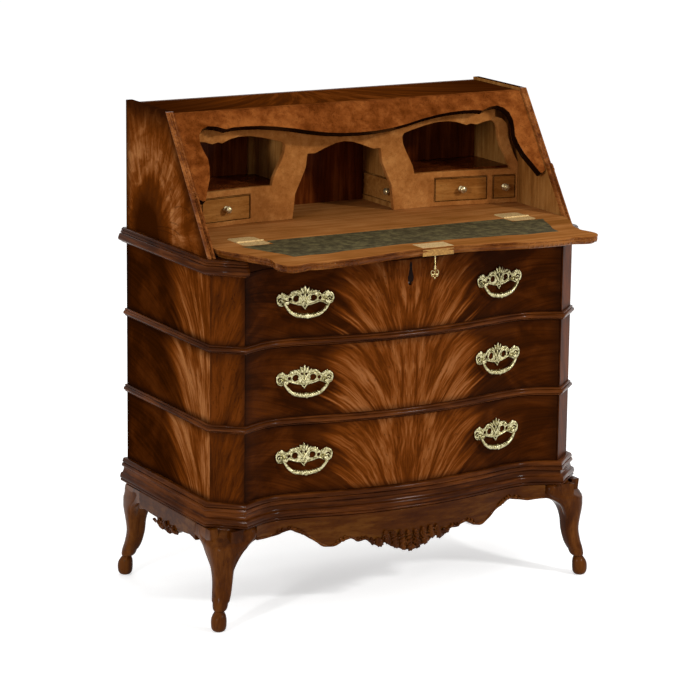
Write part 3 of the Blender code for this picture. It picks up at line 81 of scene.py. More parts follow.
def done():
    bpy.ops.object.mode_set(mode="OBJECT")


def turn_out(piece):
    """Point every face outwards."""
    edit(piece)
    bpy.ops.mesh.remove_doubles(threshold=0.00001)
    bpy.ops.mesh.normals_make_consistent(inside=False)
    done()
    return piece


def modify(piece, kind, **settings):
    """Add one modifier and apply it."""
    only(piece)
    change = piece.modifiers.new(kind.lower(), kind)
    for name, value in settings.items():
        setattr(change, name, value)
    bpy.ops.object.modifier_apply(modifier=change.name)
    return piece


def soften(piece, width, segments, angle, smooth):
    """Round the arrises and shade the piece smooth between them."""
    modify(piece, "BEVEL", width=width, segments=segments, limit_method="ANGLE",
           angle_limit=math.radians(angle), loop_slide=True)
    only(piece)
    bpy.ops.object.shade_smooth_by_angle(angle=math.radians(smooth))
    return modify(piece, "WEIGHTED_NORMAL", keep_sharp=True)


def copy_of(node, name):
    """Copy of a CAD node with its loose triangles merged and its flat faces made whole."""
    piece = bpy.data.objects.new(name, nodes[node].data.copy())
    bpy.context.scene.collection.objects.link(piece)
    edit(piece)
    bpy.ops.mesh.remove_doubles(threshold=0.00002)
    bpy.ops.mesh.dissolve_limited(angle_limit=math.radians(0.4))
    done()
    return piece


def dress(piece, body, slot, finish, *replaced):
    """Give a finished piece its material and body; the slot is not used."""
    piece.data.materials.clear()
    piece.data.materials.append(finish)
    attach(piece, body)
    if replaced:
        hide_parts(*replaced)
    return piece


def dress_node(node, name, body, slot, finish, width, segments=2, angle=40, smooth=40, half=None):
    """Dress a softened copy of a CAD node; a half width gives it the smooth serpentine front."""
    piece = copy_of(node, name)
    if half:
        smooth_front(piece, half)
    return dress(soften(piece, width, segments, angle, smooth), body, slot, finish, node)


def two_sided(piece, finish, chosen):
    """Give the chosen faces one more finish."""
    piece.data.materials.append(finish)
    for face in piece.data.polygons:
        if chosen(face):
            face.material_index = len(piece.data.materials) - 1


# The serpentine front
def curve_through(points, where):
    last = len(points) - 1
    index = max(i for i in range(last) if points[i][0] <= where or i == 0)
    slopes = []
    for i in (index, index + 1):
        before = points[max(i - 1, 0)]
        after = points[min(i + 1, last)]
        slopes.append(0.0 if i == 0 else (after[1] - before[1]) / (after[0] - before[0]))
    (x0, y0), (x1, y1) = points[index], points[index + 1]
    width = x1 - x0
    t = (where - x0) / width
    return (
        y0 * (2 * t**3 - 3 * t**2 + 1) + slopes[0] * width * (t**3 - 2 * t**2 + t)
        + y1 * (3 * t**2 - 2 * t**3) + slopes[1] * width * (t**3 - t**2)
    )


def front_depth(across):
    """Depth of the smooth front at a place across."""
    share = min(abs(across) / FRONT_HALF, 1.0)
    return FRONT_DEPTH - FRONT_DIP * curve_through(FRONT_SHARES, share)


def facet_depth(across):
    """Depth of the frame's faceted front at a place across."""
    step = max(min(abs(across) / FRONT_HALF * FRONT_FACETS, FRONT_FACETS - 1e-6), 0.0)
    low = math.floor(step)
    first = front_depth(low / FRONT_FACETS * FRONT_HALF)
    second = front_depth((low + 1) / FRONT_FACETS * FRONT_HALF)
    return first + (second - first) * (step - low)


def smooth_front(piece, half):
    """Cut the piece finer across and move its faceted front to the smooth line."""
    steps, nearest = 56, 0.35
    edit(piece)
    for step in range(1, steps):
        across = half * (2 * step / steps - 1)
        bpy.ops.mesh.select_all(action="SELECT")
        bpy.ops.mesh.bisect(plane_co=(across, 0, 0), plane_no=(1, 0, 0))
    done()
    for corner in piece.data.vertices:
        across, y = corner.co.x, corner.co.y
        if abs(across) < FRONT_HALF and BACK_Y - y > nearest:
            corner.co.y -= front_depth(across) - facet_depth(across)


# Materials
def colour(code):
    """Linear colour from a six-figure display colour."""
    parts = [int(code[i:i + 2], 16) / 255 for i in (0, 2, 4)]
    return tuple(p / 12.92 if p <= 0.04045 else ((p + 0.055) / 1.055) ** 2.4 for p in parts) + (1.0,)


class Finish:
    """Material under way, with short ways to add nodes."""

    def __init__(self, name, roughness=0.4, metallic=0.0, level=0.5):
        self.material = bpy.data.materials.new(name)
        self.material.use_nodes = True
        self.tree = self.material.node_tree
        self.shader = self.tree.nodes["Principled BSDF"]
        for side, value in (("Roughness", roughness), ("Metallic", metallic), ("Specular IOR Level", level)):
            self.shader.inputs[side].default_value = value
        self.place = self.put("ShaderNodeTexCoord", {}).outputs["Object"]
        apart = self.put("ShaderNodeSeparateXYZ", {"Vector": self.place})
        self.x, self.y, self.z = (apart.outputs[axis] for axis in "XYZ")

    def put(self, kind, sockets, **settings):
        node = self.tree.nodes.new(kind)
        for name, value in settings.items():
            setattr(node, name, value)
        for name, value in sockets.items():
            if isinstance(value, bpy.types.NodeSocket):
                self.tree.links.new(value, node.inputs[name])
            else:
                node.inputs[name].default_value = value
        return node

    def sum(self, operation, first, second=0.0, third=0.0):
        sockets = {0: first, 1: second, 2: third}
        return self.put("ShaderNodeMath", sockets, operation=operation).outputs[0]

    def plus(self, first, second):
        return self.sum("ADD", first, second)

    def less(self, first, second):
        return self.sum("SUBTRACT", first, second)

    def times(self, first, second):
        return self.sum("MULTIPLY", first, second)

    def scaled(self, first, factor, added):
        return self.sum("MULTIPLY_ADD", first, factor, added)

    def larger(self, first, second):
        return self.sum("MAXIMUM", first, second)

    def spread(self, value, low, high, to_low=0.0, to_high=1.0):
        sockets = {"Value": value, "From Min": low, "From Max": high, "To Min": to_low, "To Max": to_high}
        return self.put("ShaderNodeMapRange", sockets, interpolation_type="SMOOTHSTEP").outputs[0]

    def point(self, x, y, z):
        return self.put("ShaderNodeCombineXYZ", {"X": x, "Y": y, "Z": z}).outputs[0]

    def stretched(self, scale):
        return self.put("ShaderNodeMapping", {"Vector": self.place, "Scale": scale}).outputs[0]

    def noise(self, vector, scale=1.0, detail=3.0, roughness=0.55, distortion=0.0):
        sockets = {"Vector": vector, "Scale": scale, "Detail": detail, "Roughness": roughness}
        return self.put("ShaderNodeTexNoise", {**sockets, "Distortion": distortion}).outputs["Fac"]

    def figure(self, first, first_scale, second, second_scale, seed, detail, roughness=0.55, distortion=0.0):
        """Noise drawn out unevenly along two directions."""
        where = self.point(self.times(first, first_scale), self.times(second, second_scale), seed)
        return self.noise(where, 1.0, detail, roughness, distortion)

    def cells(self, scale):
        """Distance from the middles of scattered cells."""
        return self.put("ShaderNodeTexVoronoi", {"Vector": self.place, "Scale": scale}).outputs["Distance"]

    def ramp(self, value, *stops):
        node = self.put("ShaderNodeValToRGB", {"Fac": value})
        bar = node.color_ramp.elements
        while len(bar) < len(stops):
            bar.new(0.5)
        for element, (where, code) in zip(bar, stops):
            element.position = where
            element.color = colour(code)
        return node.outputs["Color"]

    def mix(self, factor, first, second):
        node = self.put("ShaderNodeMix", {"Factor": factor}, data_type="RGBA")
        for socket, value in ((node.inputs[6], first), (node.inputs[7], second)):
            if isinstance(value, str):
                value = colour(value)
            if isinstance(value, bpy.types.NodeSocket):
                self.tree.links.new(value, socket)
            else:
                socket.default_value = value
        return node.outputs[2]

    def to(self, name, value):
        self.tree.links.new(value, self.shader.inputs[name])

    def bump(self, height, strength=0.3, distance=0.0005):
        sockets = {"Height": height, "Strength": strength, "Distance": distance}
        self.to("Normal", self.put("ShaderNodeBump", sockets).outputs["Normal"])


def storey_height(f):
    """Height above the foot of a storey, and which storey it is."""
    second = f.sum("GREATER_THAN", f.z, (LOWER_RAIL[0].z + LOWER_RAIL[1].z) / 2)
    third = f.sum("GREATER_THAN", f.z, (UPPER_RAIL[0].z + UPPER_RAIL[1].z) / 2)
    rise = f.scaled(second, BASE_TOP - LOWER_RAIL[1].z, f.z)
    rise = f.scaled(third, LOWER_RAIL[1].z - UPPER_RAIL[1].z, rise)
    return f.less(rise, BASE_TOP), f.plus(second, third)


def fountain(f, side, rise, seed, root, arch):
    """Streaks that rise from the foot of a seam, fan out and bend over, the broad ones alone, and the fan."""
    wave = f.scaled(f.noise(f.place, 12.0, 3.0), 0.022, -0.011)
    bent = f.plus(side, wave)
    high = f.larger(f.plus(rise, root), 0.03)
    ray = f.sum("DIVIDE", bent, f.times(high, 1 / root))
    over = f.times(f.times(bent, bent), f.times(rise, arch))
    ray = f.less(ray, over)
    broad = f.figure(ray, 48.0, rise, 5.0, seed, 2.0)
    middle = f.figure(ray, 130.0, rise, 9.0, seed, 3.0)
    fine = f.figure(ray, 420.0, rise, 28.0, seed, 2.0)
    streak = f.plus(f.times(broad, 0.36), f.times(middle, 0.4))
    return f.spread(f.scaled(fine, 0.24, streak), 0.37, 0.61), broad, ray


WALNUT = (
    (0.0, "1c0a01"), (0.13, "290f01"), (0.22, "3b1802"), (0.34, "472006"), (0.5, "542605"), (0.66, "6a340e"),
    (0.8, "7d451c"), (0.92, "935a30"), (1.0, "a66c3c"),
)


def finished(f, tone, ray, rise, seed, edge=0.0, depth=0.45, rough=True):
    """Colours of a veneer by its tone, with short dark pores along the grain and a darkened edge."""
    speck = f.figure(ray, 520.0, rise, 95.0, seed, 2.0)
    colours = f.mix(f.times(f.spread(speck, 0.6, 0.7), depth), f.ramp(tone, *WALNUT), "200d05")
    f.to("Base Color", f.mix(edge, colours, "140703"))
    f.bump(f.plus(speck, f.noise(f.place, 14.0, 1.0)) if rough else speck, 0.1, 0.0003)
    return f.material


def fade(f, value, low, high, start=1.0):
    return f.spread(value, low, high, start, 0.0)


def panel_ends(f, rise, most):
    """Darkening at the foot and the top of each storey."""
    return f.larger(fade(f, rise, 0.0, 0.016, most), f.spread(rise, 0.128, 0.156, 0.0, most))


def veneer(name, across, bright, edge_of, seed=0.0, base=0.27, top=0.45):
    """Flame veneer: bright by its seam, dark beyond, with streaks, pores and a darkened edge."""
    f = Finish(name, roughness=0.28, level=0.008)
    rise, storey = storey_height(f)
    side = across(f)
    seeded = f.scaled(storey, 3.7, seed)
    streak, broad, ray = fountain(f, side, rise, seeded, 0.12, 6.0)
    reach = f.scaled(broad, -0.22, f.plus(side, 0.11))
    reach = f.scaled(rise, -0.22, reach)
    light = fade(f, reach, bright * 0.8, bright * 1.14)
    cloud = f.spread(f.figure(f.x, 9.0, rise, 16.0, seeded, 3.0, 0.6, 0.8), 0.4, 0.72)
    light = f.larger(light, f.times(cloud, 0.42))
    tone = f.times(light, f.scaled(streak, top, base))
    tone = f.plus(tone, f.scaled(streak, 0.06, 0.13))
    return finished(f, tone, ray, rise, seeded, edge_of(f, side, rise))


def wood(name, colours, grain, dark="2a1207", specks=0.0, cloud=0.24, middle=0.5, roughness=0.35, level=0.0):
    """Wood in three colours from dark to bright, its grain along the short figure of the scale."""
    f = Finish(name, roughness=roughness, level=level)
    along = f.stretched(grain)
    broad = f.noise(along, 0.3, 3.0, 0.6, 0.6)
    fine = f.noise(along, 1.6, 4.0, 0.65, 0.3)
    drift = f.noise(f.place, 9.0, 2.0)
    tone = f.plus(f.times(broad, 0.42), f.times(fine, 0.58 - cloud))
    tone = f.scaled(drift, cloud, tone)
    colours = f.ramp(f.spread(tone, 0.34, 0.66), *zip((0.0, middle, 1.0), colours.split()))
    hair = f.spread(f.noise(along, 9.0, 2.0), 0.6, 0.72)
    colours = f.mix(f.times(hair, 0.35), colours, dark)
    if specks:
        dots = fade(f, f.cells(420.0), 0.12, 0.34)
        where = f.spread(f.noise(f.place, 70.0, 3.0), 0.44, 0.6)
        colours = f.mix(f.times(f.times(dots, where), specks), colours, dark)
        swirl = f.spread(f.noise(f.place, 140.0, 4.0, 0.7, 1.2), 0.52, 0.66)
        colours = f.mix(f.times(swirl, 0.35 * specks), colours, dark)
    f.to("Base Color", colours)
    f.bump(fine, 0.12, 0.0003)
    return f.material


def along_front(f):
    return f.sum("ABSOLUTE", f.x)


def along_side(f):
    """Distance back from the front arris of the side."""
    return f.plus(f.y, SIDE_DEPTH - BACK_Y)


def along_cant(f):
    """Distance forward round the canted corner from the arris of the side."""
    return f.times(f.less(CASE_HALF, f.sum("ABSOLUTE", f.x)), 1.35)


def darkened_ends(reach, depth, end=0.03, near=False):
    """Darkening towards the ends and the top and foot of each panel."""
    def edge(f, side, rise):
        ends = fade(f, f.less(reach, side), 0.0, end)
        if near:
            ends = f.larger(ends, fade(f, side, 0.0, 0.006, 0.5))
        return f.times(f.larger(ends, panel_ends(f, rise, 0.85)), depth)
    return edge


def side_veneer():
    """Side veneer: fanned flame on the three lower storeys and a crotch figure on the sloping one."""
    f = Finish("side_flame", roughness=0.28, level=0.0)
    rise, storey = storey_height(f)
    side = along_side(f)
    seeded = f.scaled(storey, 3.7, 9.0)
    streak, broad, ray = fountain(f, side, rise, seeded, 0.13, 5.0)
    reach = f.scaled(broad, -0.14, f.plus(side, 0.07))
    reach = f.scaled(rise, -0.42, reach)
    light = fade(f, reach, 0.085, 0.185)
    drift = f.point(seeded, f.times(f.y, 10.0), f.times(f.z, 12.0))
    light = f.larger(light, f.times(f.spread(f.noise(drift, 1.0, 3.0), 0.42, 0.7), 0.3))
    tone = f.times(light, f.scaled(streak, 0.42, 0.36))
    low = f.plus(tone, f.scaled(streak, 0.06, 0.12))
    # Crotch: soft arches about a dark heart, crossed by rays
    across = f.less(side, 0.285)
    above = f.times(f.less(f.z, 0.785), 0.8)
    warp = f.scaled(f.noise(f.place, 11.0, 3.0, 0.6), 0.1, -0.05)
    far = f.sum("SQRT", f.plus(f.times(across, across), f.times(above, above)))
    far = f.plus(far, warp)
    way = f.sum("ARCTAN2", across, f.plus(above, 0.02))
    bands = f.figure(far, 30.0, way, 1.1, 2.0, 3.0)
    rays = f.figure(way, 9.0, far, 14.0, 4.0, 4.0, 0.6)
    threads = f.figure(way, 48.0, far, 40.0, 6.0, 2.0)
    figure = f.plus(f.times(bands, 0.46), f.times(rays, 0.38))
    figure = f.spread(f.scaled(threads, 0.16, figure), 0.36, 0.64)
    heart = f.spread(far, 0.045, 0.115)
    rim = f.spread(far, 0.15, 0.27, 1.0, 0.62)
    high = f.scaled(f.times(heart, rim), f.scaled(figure, 0.5, 0.32), 0.17)
    upper = f.sum("GREATER_THAN", f.z, 0.772)
    tone = f.plus(f.times(upper, high), f.times(f.less(1.0, upper), low))
    rear = fade(f, f.less(SIDE_DEPTH, side), 0.0, 0.03, 0.7)
    ends = f.times(f.less(1.0, upper), panel_ends(f, rise, 0.7))
    crown = f.spread(f.z, 0.985, 1.05, 0.0, 0.75)
    slope = f.less(side, f.scaled(f.z, 0.711, -0.545))
    near = f.times(upper, fade(f, slope, 0.0, 0.05, 0.7))
    edge = f.larger(f.larger(rear, ends), f.larger(crown, near))
    return finished(f, tone, ray, rise, seeded, edge, 0.4)


def top_veneer():
    """Flame veneer of the top, with its seam across the middle and dark ends."""
    f = Finish("top_flame", roughness=0.55, level=0.0)
    side = along_front(f)
    rise = f.less(BACK_Y, f.y)
    streak, broad, ray = fountain(f, f.plus(side, 0.02), rise, 21.0, 0.15, 2.0)
    light = f.spread(f.scaled(broad, -0.2, side), 0.02, 0.3, 1.0, 0.25)
    tone = f.scaled(light, f.scaled(streak, 0.34, 0.2), 0.12)
    return finished(f, tone, ray, rise, 21.0, rough=False)


DRAWER_VENEER = veneer("drawer_flame", along_front, 0.15, darkened_ends(OPENING_HALF, 0.6))
POST_VENEER = veneer("corner_flame", along_cant, 0.1, darkened_ends(0.078, 0.6, 0.02, True), 5.0, 0.05, 0.36)
SIDE_VENEER = side_veneer()
TOP = top_veneer()
SATIN = {"roughness": 0.15, "level": 0.045}
MOULDING = wood("moulding_walnut", "260d01 452006 683611", (10, 10, 160), "1c0902", **SATIN)
REEDS = wood("slope_walnut", "4e220a 7c441a a56633", (120, 10, 120), "2a0f04", **SATIN)
STAND = wood("stand_walnut", "301302 492305 673911", (30, 30, 7), "1c0902", cloud=0.12, middle=0.45, **SATIN)
APRON = wood("apron_walnut", "351502 4a2405 633a12", (7, 20, 40), "1c0902", cloud=0.12, **SATIN)
BURR = wood("burr_walnut", "522406 7a3f17 9a5826", (34, 34, 34), "3a1706", 1.0)
GALLERY_BURR = wood("gallery_burr", "8f5626 a36732 b67a40", (60, 60, 60), "5f3412", 0.7)
DESK = wood("desk_walnut", "84501f a06430 b67a42", (5, 90, 90), "5a300f", 0.15)
LINING = wood("lining_walnut", "6f4219 93602c b07c42", (60, 60, 6), "40200a", 0.3)
EDGE = wood("edge_walnut", "3c1804 6a3811 98602e", (12, 60, 60), "1c0902", **SATIN)
CELLS = wood("cell_walnut", "3a1203 5c2708 7e3f18", (90, 90, 6), "140502", roughness=0.2, level=0.03)
DRAWER_FACE = wood("small_drawer_walnut", "774417 935d29 ab7439", (8, 60, 80), specks=0.4)
# Carcass boards in dark walnut, darkened further with painted shade for the waist board's edge under the fall
BOARDS_AND_SHADE = wood("carcass_walnut_and_shade", "2a140a 3d2010 523018", (6, 60, 60), roughness=0.55)
BACK = wood("back_boards", "3a2213 55351d 6e4828", (60, 60, 6), roughness=0.6, level=0.05)
# Near-black painted shade for the frame's inner walls, the gaps round the small drawers and the keyhole's
# hole
SHADOW = wood("shadow_line", "0c0401 180802 241005", (30, 30, 30), roughness=0.15, level=0.04)


def brass(name, low, high, roughness, metallic=1.0):
    """Metal, duller and darker where it is less handled."""
    f = Finish(name, roughness=roughness, metallic=metallic)
    wear = f.noise(f.place, 210.0, 3.0, 0.6)
    f.to("Base Color", f.ramp(f.spread(wear, 0.36, 0.62), (0.0, low), (1.0, high)))
    f.to("Roughness", f.spread(wear, 0.3, 0.7, roughness - 0.08, roughness + 0.12))
    f.bump(f.noise(f.place, 600.0, 2.0), 0.1, 0.0002)
    return f.material


def engraved(name, low, high):
    """Flat brass with leafy scrolls cut in it."""
    f = Finish(name, roughness=0.45, metallic=0.2, level=0.1)
    swirl = f.noise(f.place, 130.0, 2.0, 0.5, 2.2)
    lines = f.spread(f.sum("ABSOLUTE", f.less(swirl, 0.5)), 0.0, 0.045)
    f.to("Base Color", f.ramp(lines, (0.0, low), (1.0, high)))
    f.bump(lines, 0.45, 0.0003)
    return f.material


HANDLE_BRASS = brass("handle_brass_finish", "8a8157", "d2caa0", 0.3)
PLATE_BRASS = engraved("plate_brass_finish", "9a7440", "d8b67c")
LOCK_BRASS = brass("lock_brass_finish", "8a6024", "a97c38", 0.4, 0.35)
KEY_METAL = brass("key_metal_finish", "8f7d48", "cbb885", 0.28)
STEEL = brass("steel_finish", "77756f", "a9a69e", 0.35)
KNOB_BRASS = brass("knob_brass_finish", "a08a5c", "d6c498", 0.25, 0.7)


def hide():
    f = Finish("desk_hide", roughness=0.6, level=0.03)
    mottle = f.noise(f.place, 60.0, 4.0, 0.7)
    f.to("Base Color", f.ramp(f.spread(mottle, 0.3, 0.7), (0.0, "38321f"), (0.55, "50472f"), (1.0, "685e3c")))
    pebble = f.cells(900.0)
    f.bump(f.plus(pebble, mottle), 0.35, 0.0003)
    return f.material


LEATHER = hide()


# Finish on every node of the frame; the last start that fits a name counts
NODE_FINISH = (
    ("side_", SIDE_VENEER), ("corner_post", POST_VENEER), ("drawer_", DRAWER_VENEER), ("drawer_lock", STEEL),
    ("back_panel", BACK), ("top_board", TOP), ("case_bottom", BOARDS_AND_SHADE), ("dust_board", BOARDS_AND_SHADE),
    ("waist_board", BOARDS_AND_SHADE), ("string_", MOULDING), ("base_moulding", MOULDING), ("waist_moulding", MOULDING),
    ("slope_moulding", REEDS), ("leg_", STAND), ("apron_", STAND), ("back_rail", STAND),
    ("slope_frame", BURR), ("desk_bed", DESK), ("fall_lid", DESK), ("leather_panel", LEATHER),
    ("fall_lock_plate", PLATE_BRASS), ("hinge_", PLATE_BRASS), ("fall_key", KEY_METAL),
    ("gallery_front", GALLERY_BURR), ("gallery_case", CELLS), ("wide_drawer", DRAWER_FACE),
    ("tiny_drawer", DRAWER_FACE), ("side_drawer", DRAWER_FACE), ("backplate", HANDLE_BRASS),
    ("bail_", HANDLE_BRASS),
)
for node, thing in nodes.items():
    finish = next(finish for start, finish in reversed(NODE_FINISH) if node.startswith(start))
    for slot in thing.material_slots:
        slot.material = finish


# Shaping
def at(across, depth, height):
    return Vector((across, BACK_Y - depth, height))


def drawn(name, outlines):
    """Lay a filled circle on the first outline and draw it out from outline to outline."""
    bpy.ops.mesh.primitive_circle_add(vertices=len(outlines[0]), radius=0.01, fill_type="NGON")
    piece = bpy.context.active_object
    piece.name = name
    for corner, point in zip(piece.data.vertices, outlines[0]):
        corner.co = point
    edit(piece)
    order = list(range(len(outlines[0])))
    for outline in outlines[1:]:
        bpy.ops.mesh.extrude_region_move()
        mesh = bmesh.from_edit_mesh(piece.data)
        mesh.verts.index_update()
        mesh.verts.ensure_lookup_table()
        following = []
        for index, point in zip(order, outline):
            corner = mesh.verts[index]
            near = [e.other_vert(corner) for e in corner.link_edges]
            new = next(other for other in near if other.select)
            new.co = point
            following.append(new.index)
        order = following
        bmesh.update_edit_mesh(piece.data)
    done()
    return turn_out(piece)


def smoothed(points, steps=4):
    """Points on a smooth line through the given ones."""
    points = [Vector(p) for p in points]
    line = []
    for i in range(len(points) - 1):
        b, c = points[i], points[i + 1]
        a = points[i - 1] if i > 0 else b * 2 - c
        d = points[i + 2] if i + 2 < len(points) else c * 2 - b
        for step in range(steps):
            t = step / steps
            bend = (a * 2 - b * 5 + c * 4 - d) * t**2
            line.append((b * 2 + (c - a) * t + bend + (b * 3 - a - c * 3 + d) * t**3) / 2)
    return line + [points[-1]]


def rod_along(name, line, widths, sides=8, flat=1.0, face=Vector((0, 0, 1))):
    """Rod drawn along a line, with its own width at each point and pressed flat towards a face."""
    line = [Vector(p) for p in line]
    outlines = []
    for i, here in enumerate(line):
        along = (line[min(i + 1, len(line) - 1)] - line[max(i - 1, 0)]).normalized()
        aside = along.cross(face)
        aside = aside.normalized() if aside.length > 1e-6 else Vector((1, 0, 0))
        rise = aside.cross(along).normalized()
        width = widths(i / (len(line) - 1)) if callable(widths) else widths
        angles = [math.tau * k / sides for k in range(sides)]
        outlines.append([here + (aside * math.cos(a) + rise * math.sin(a) * flat) * width for a in angles])
    piece = drawn(name, outlines)
    only(piece)
    bpy.ops.object.shade_smooth_by_angle(angle=math.radians(60))
    return piece


def turned(name, profile, point, sides, face=Vector((0, 0, 1))):
    """Turned piece: the profile gives places along it, each with its radius."""
    places, last = [point(w) for w, _ in profile], len(profile) - 1
    return rod_along(name, places, lambda s: profile[round(s * last)][1], sides, 1.0, face)


def scroll(middle, radius, start, sweep, width, inner=0.3, flat=1.0, tip=0.55):
    """Rod rolled up like a volute, in the plane of u and v, and thinner at its ends."""
    line, steps = [], 22
    for k in range(steps + 1):
        share = k / steps
        reach = radius * (1 + (inner - 1) * share**0.8)
        angle = math.radians(start + sweep * share)
        line.append((middle[0] + reach * math.cos(angle), middle[1] + reach * math.sin(angle), middle[2]))

    def thickness(s):
        return width * (tip + (1 - tip) * math.sin(math.pi * min(s * 1.15 + 0.12, 1.0)))

    return rod_along("scroll", line, thickness, 8, flat)


def bud(middle, sizes, turn=0.0, rings=8, segments=12):
    """Rounded leaf or bead, longer one way, turned in the plane of u and v and pinched at its tip."""
    bpy.ops.mesh.primitive_uv_sphere_add(segments=segments, ring_count=rings, radius=1.0)
    piece = bpy.context.active_object
    cosine, sine = math.cos(math.radians(turn)), math.sin(math.radians(turn))
    for corner in piece.data.vertices:
        u, v, w = corner.co
        pinch = 1 - 0.45 * max(v, 0.0) ** 1.5
        u, v, w = u * sizes[0] * pinch, v * sizes[1], w * sizes[2]
        corner.co = (middle[0] + u * cosine - v * sine, middle[1] + u * sine + v * cosine, middle[2] + w)
    only(piece)
    bpy.ops.object.shade_smooth()
    return piece


def joined(name, pieces):
    only(pieces[0])
    for piece in pieces:
        piece.select_set(True)
    bpy.ops.object.join()
    pieces[0].name = name
    return pieces[0]


def twin(piece, name, mapping):
    """Copy with its own mesh, laid out by a mapping of its points."""
    copy = bpy.data.objects.new(name, piece.data.copy())
    bpy.context.scene.collection.objects.link(copy)
    for corner in copy.data.vertices:
        corner.co = mapping(corner.co)
    return copy


def dress_both(piece, slot, finish, node=None):
    """Dress a piece of the right side and its mirror image on the left, each for its own node."""
    mirror = twin(piece, piece.name.replace("right", "left"), lambda p: Vector((-p.x, p.y, p.z)))
    edit(mirror)
    bpy.ops.mesh.flip_normals()
    done()
    for half, word in ((piece, "right"), (mirror, "left")):
        dress(half, "case", slot, finish, *([node + word] if node else []))


def shade(piece, angle):
    only(piece)
    bpy.ops.object.shade_smooth_by_angle(angle=math.radians(angle))
    return piece


def offset(points, distance):
    """Open line moved to its left, with mitred corners."""
    moved = []
    for i, (x, y) in enumerate(points):
        here = Vector((x, y))
        before, after = Vector(points[max(i - 1, 0)]), Vector(points[min(i + 1, len(points) - 1)])
        first = (here - before if i > 0 else after - here).normalized()
        second = (after - here if i < len(points) - 1 else here - before).normalized()
        left, other = Vector((-first.y, first.x)), Vector((-second.y, second.x))
        middle = (left + other).normalized()
        moved.append(here + middle * (distance / max(middle.dot(left), 0.5)))
    return moved


# Mouldings
def front_places(half, steps):
    return [(half * (2 * k / steps - 1), front_depth(half * (2 * k / steps - 1))) for k in range(steps + 1)]


def round_case(path, profile, width, node):
    """Outlines of a moulding as high as its node, carried along a plan path and mitred at its corners."""
    low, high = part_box(node)
    height = high.z - low.z
    outlines = []
    for i, spot in enumerate(path):
        here = Vector(spot)
        first = (here - Vector(path[i - 1])).normalized() if i > 0 else None
        second = (Vector(path[i + 1]) - here).normalized() if i < len(path) - 1 else None
        first, second = first or second, second or first
        outward = Vector((-first.y, first.x))
        mitre = (outward + Vector((-second.y, second.x))).normalized()
        mitre /= mitre.dot(outward)
        points = [(here + mitre * max(out * width, GAP), low.z + up * height) for out, up in profile]
        outlines.append([at(spot.x, spot.y, level) for spot, level in points])
    return outlines


STRING_WIDTH, BASE_WIDTH, WAIST_WIDTH = 0.0085, 0.018, 0.02
STRING_PROFILE = (
    (0.0, 0.0), (0.42, 0.0), (0.54, 0.05), (0.54, 0.13), (0.36, 0.17), (0.6, 0.2), (0.86, 0.25),
    (0.97, 0.33), (1.0, 0.42), (0.97, 0.5), (0.82, 0.67), (0.6, 0.73), (0.3, 0.76), (0.58, 0.79),
    (0.62, 0.84), (0.52, 0.95), (0.38, 1.0), (0.0, 1.0),
)
WAIST_PROFILE = (
    (0.0, 0.0), (0.26, 0.0), (0.32, 0.04), (0.46, 0.05), (0.6, 0.08), (0.62, 0.14), (0.82, 0.17),
    (0.95, 0.23), (1.0, 0.31), (0.99, 0.38), (0.83, 0.6), (0.73, 0.645), (0.58, 0.66), (0.69, 0.69),
    (0.7, 0.73), (0.62, 0.8), (0.5, 0.81), (0.6, 0.84), (0.59, 0.88), (0.52, 0.945), (0.45, 0.955),
    (0.43, 1.0), (0.0, 1.0),
)
BASE_PROFILE = (
    (0.0, 0.0), (0.72, 0.0), (0.87, 0.02), (0.94, 0.06), (0.92, 0.1), (0.8, 0.13), (0.96, 0.15),
    (1.0, 0.2), (0.99, 0.25), (0.9, 0.34), (0.84, 0.37), (0.7, 0.38), (0.62, 0.41), (0.54, 0.47),
    (0.5, 0.54), (0.5, 0.6), (0.46, 0.62), (0.7, 0.64), (0.77, 0.68), (0.76, 0.72), (0.67, 0.79),
    (0.52, 0.8), (0.66, 0.83), (0.67, 0.86), (0.61, 0.94), (0.52, 0.99), (0.4, 1.0), (0.0, 1.0),
)


def make_round_mouldings():
    whole = [(-CASE_HALF, 0.0), (-CASE_HALF, SIDE_DEPTH)] + front_places(FRONT_HALF, 76)
    whole += [(CASE_HALF, SIDE_DEPTH), (CASE_HALF, 0.0)]
    for node, name, profile, width in (
        ("string_lower", "string_lower_reeded", STRING_PROFILE, STRING_WIDTH),
        ("string_upper", "string_upper_reeded", STRING_PROFILE, STRING_WIDTH),
        ("base_moulding", "base_moulding_run", BASE_PROFILE, BASE_WIDTH),
    ):
        piece = shade(drawn(name, round_case(whole, profile, width, node)), 50)
        dress(piece, "case", "dark_moulding", MOULDING, node)
    corner = [(OPENING_HALF, FRONT_DEPTH), (FRONT_HALF, FRONT_DEPTH)] + whole[-2:]
    piece = drawn("waist_run_right", round_case(corner, WAIST_PROFILE, WAIST_WIDTH, "waist_moulding_right"))
    dress_both(shade(piece, 50), "dark_moulding", MOULDING, "waist_moulding_")


SLOPE_FOOT_DEPTH, SLOPE_TOP_DEPTH, CASE_HEIGHT = 0.39, 0.195, 1.05
WAIST_TOP = 0.7755
SLOPE_ANGLE = math.atan2(CASE_HEIGHT - WAIST_TOP, SLOPE_FOOT_DEPTH - SLOPE_TOP_DEPTH)
SINE, COSINE = math.sin(SLOPE_ANGLE), math.cos(SLOPE_ANGLE)
INNER_HALF = 0.425
HINGE_DEPTH = 0.35196
LID_REACH = 0.258039
SLOPE_WIDTH, BRAID_PITCH = 0.016, 0.0075
LOW_BEADS, HIGH_BEADS = 0.01, 0.005
SLOPE_PROFILE = (
    (0.0, 0.0), (0.0, 0.4), (0.04, 0.66), (0.1, 0.88), (0.18, 0.98), (0.27, 0.92), (0.33, 0.7),
    (0.36, 0.5), (0.43, 0.62), (0.5, 0.68), (0.57, 0.62), (0.64, 0.5), (0.67, 0.7), (0.73, 0.92),
    (0.82, 0.98), (0.9, 0.88), (0.96, 0.66), (1.0, 0.4), (1.0, 0.0),
)
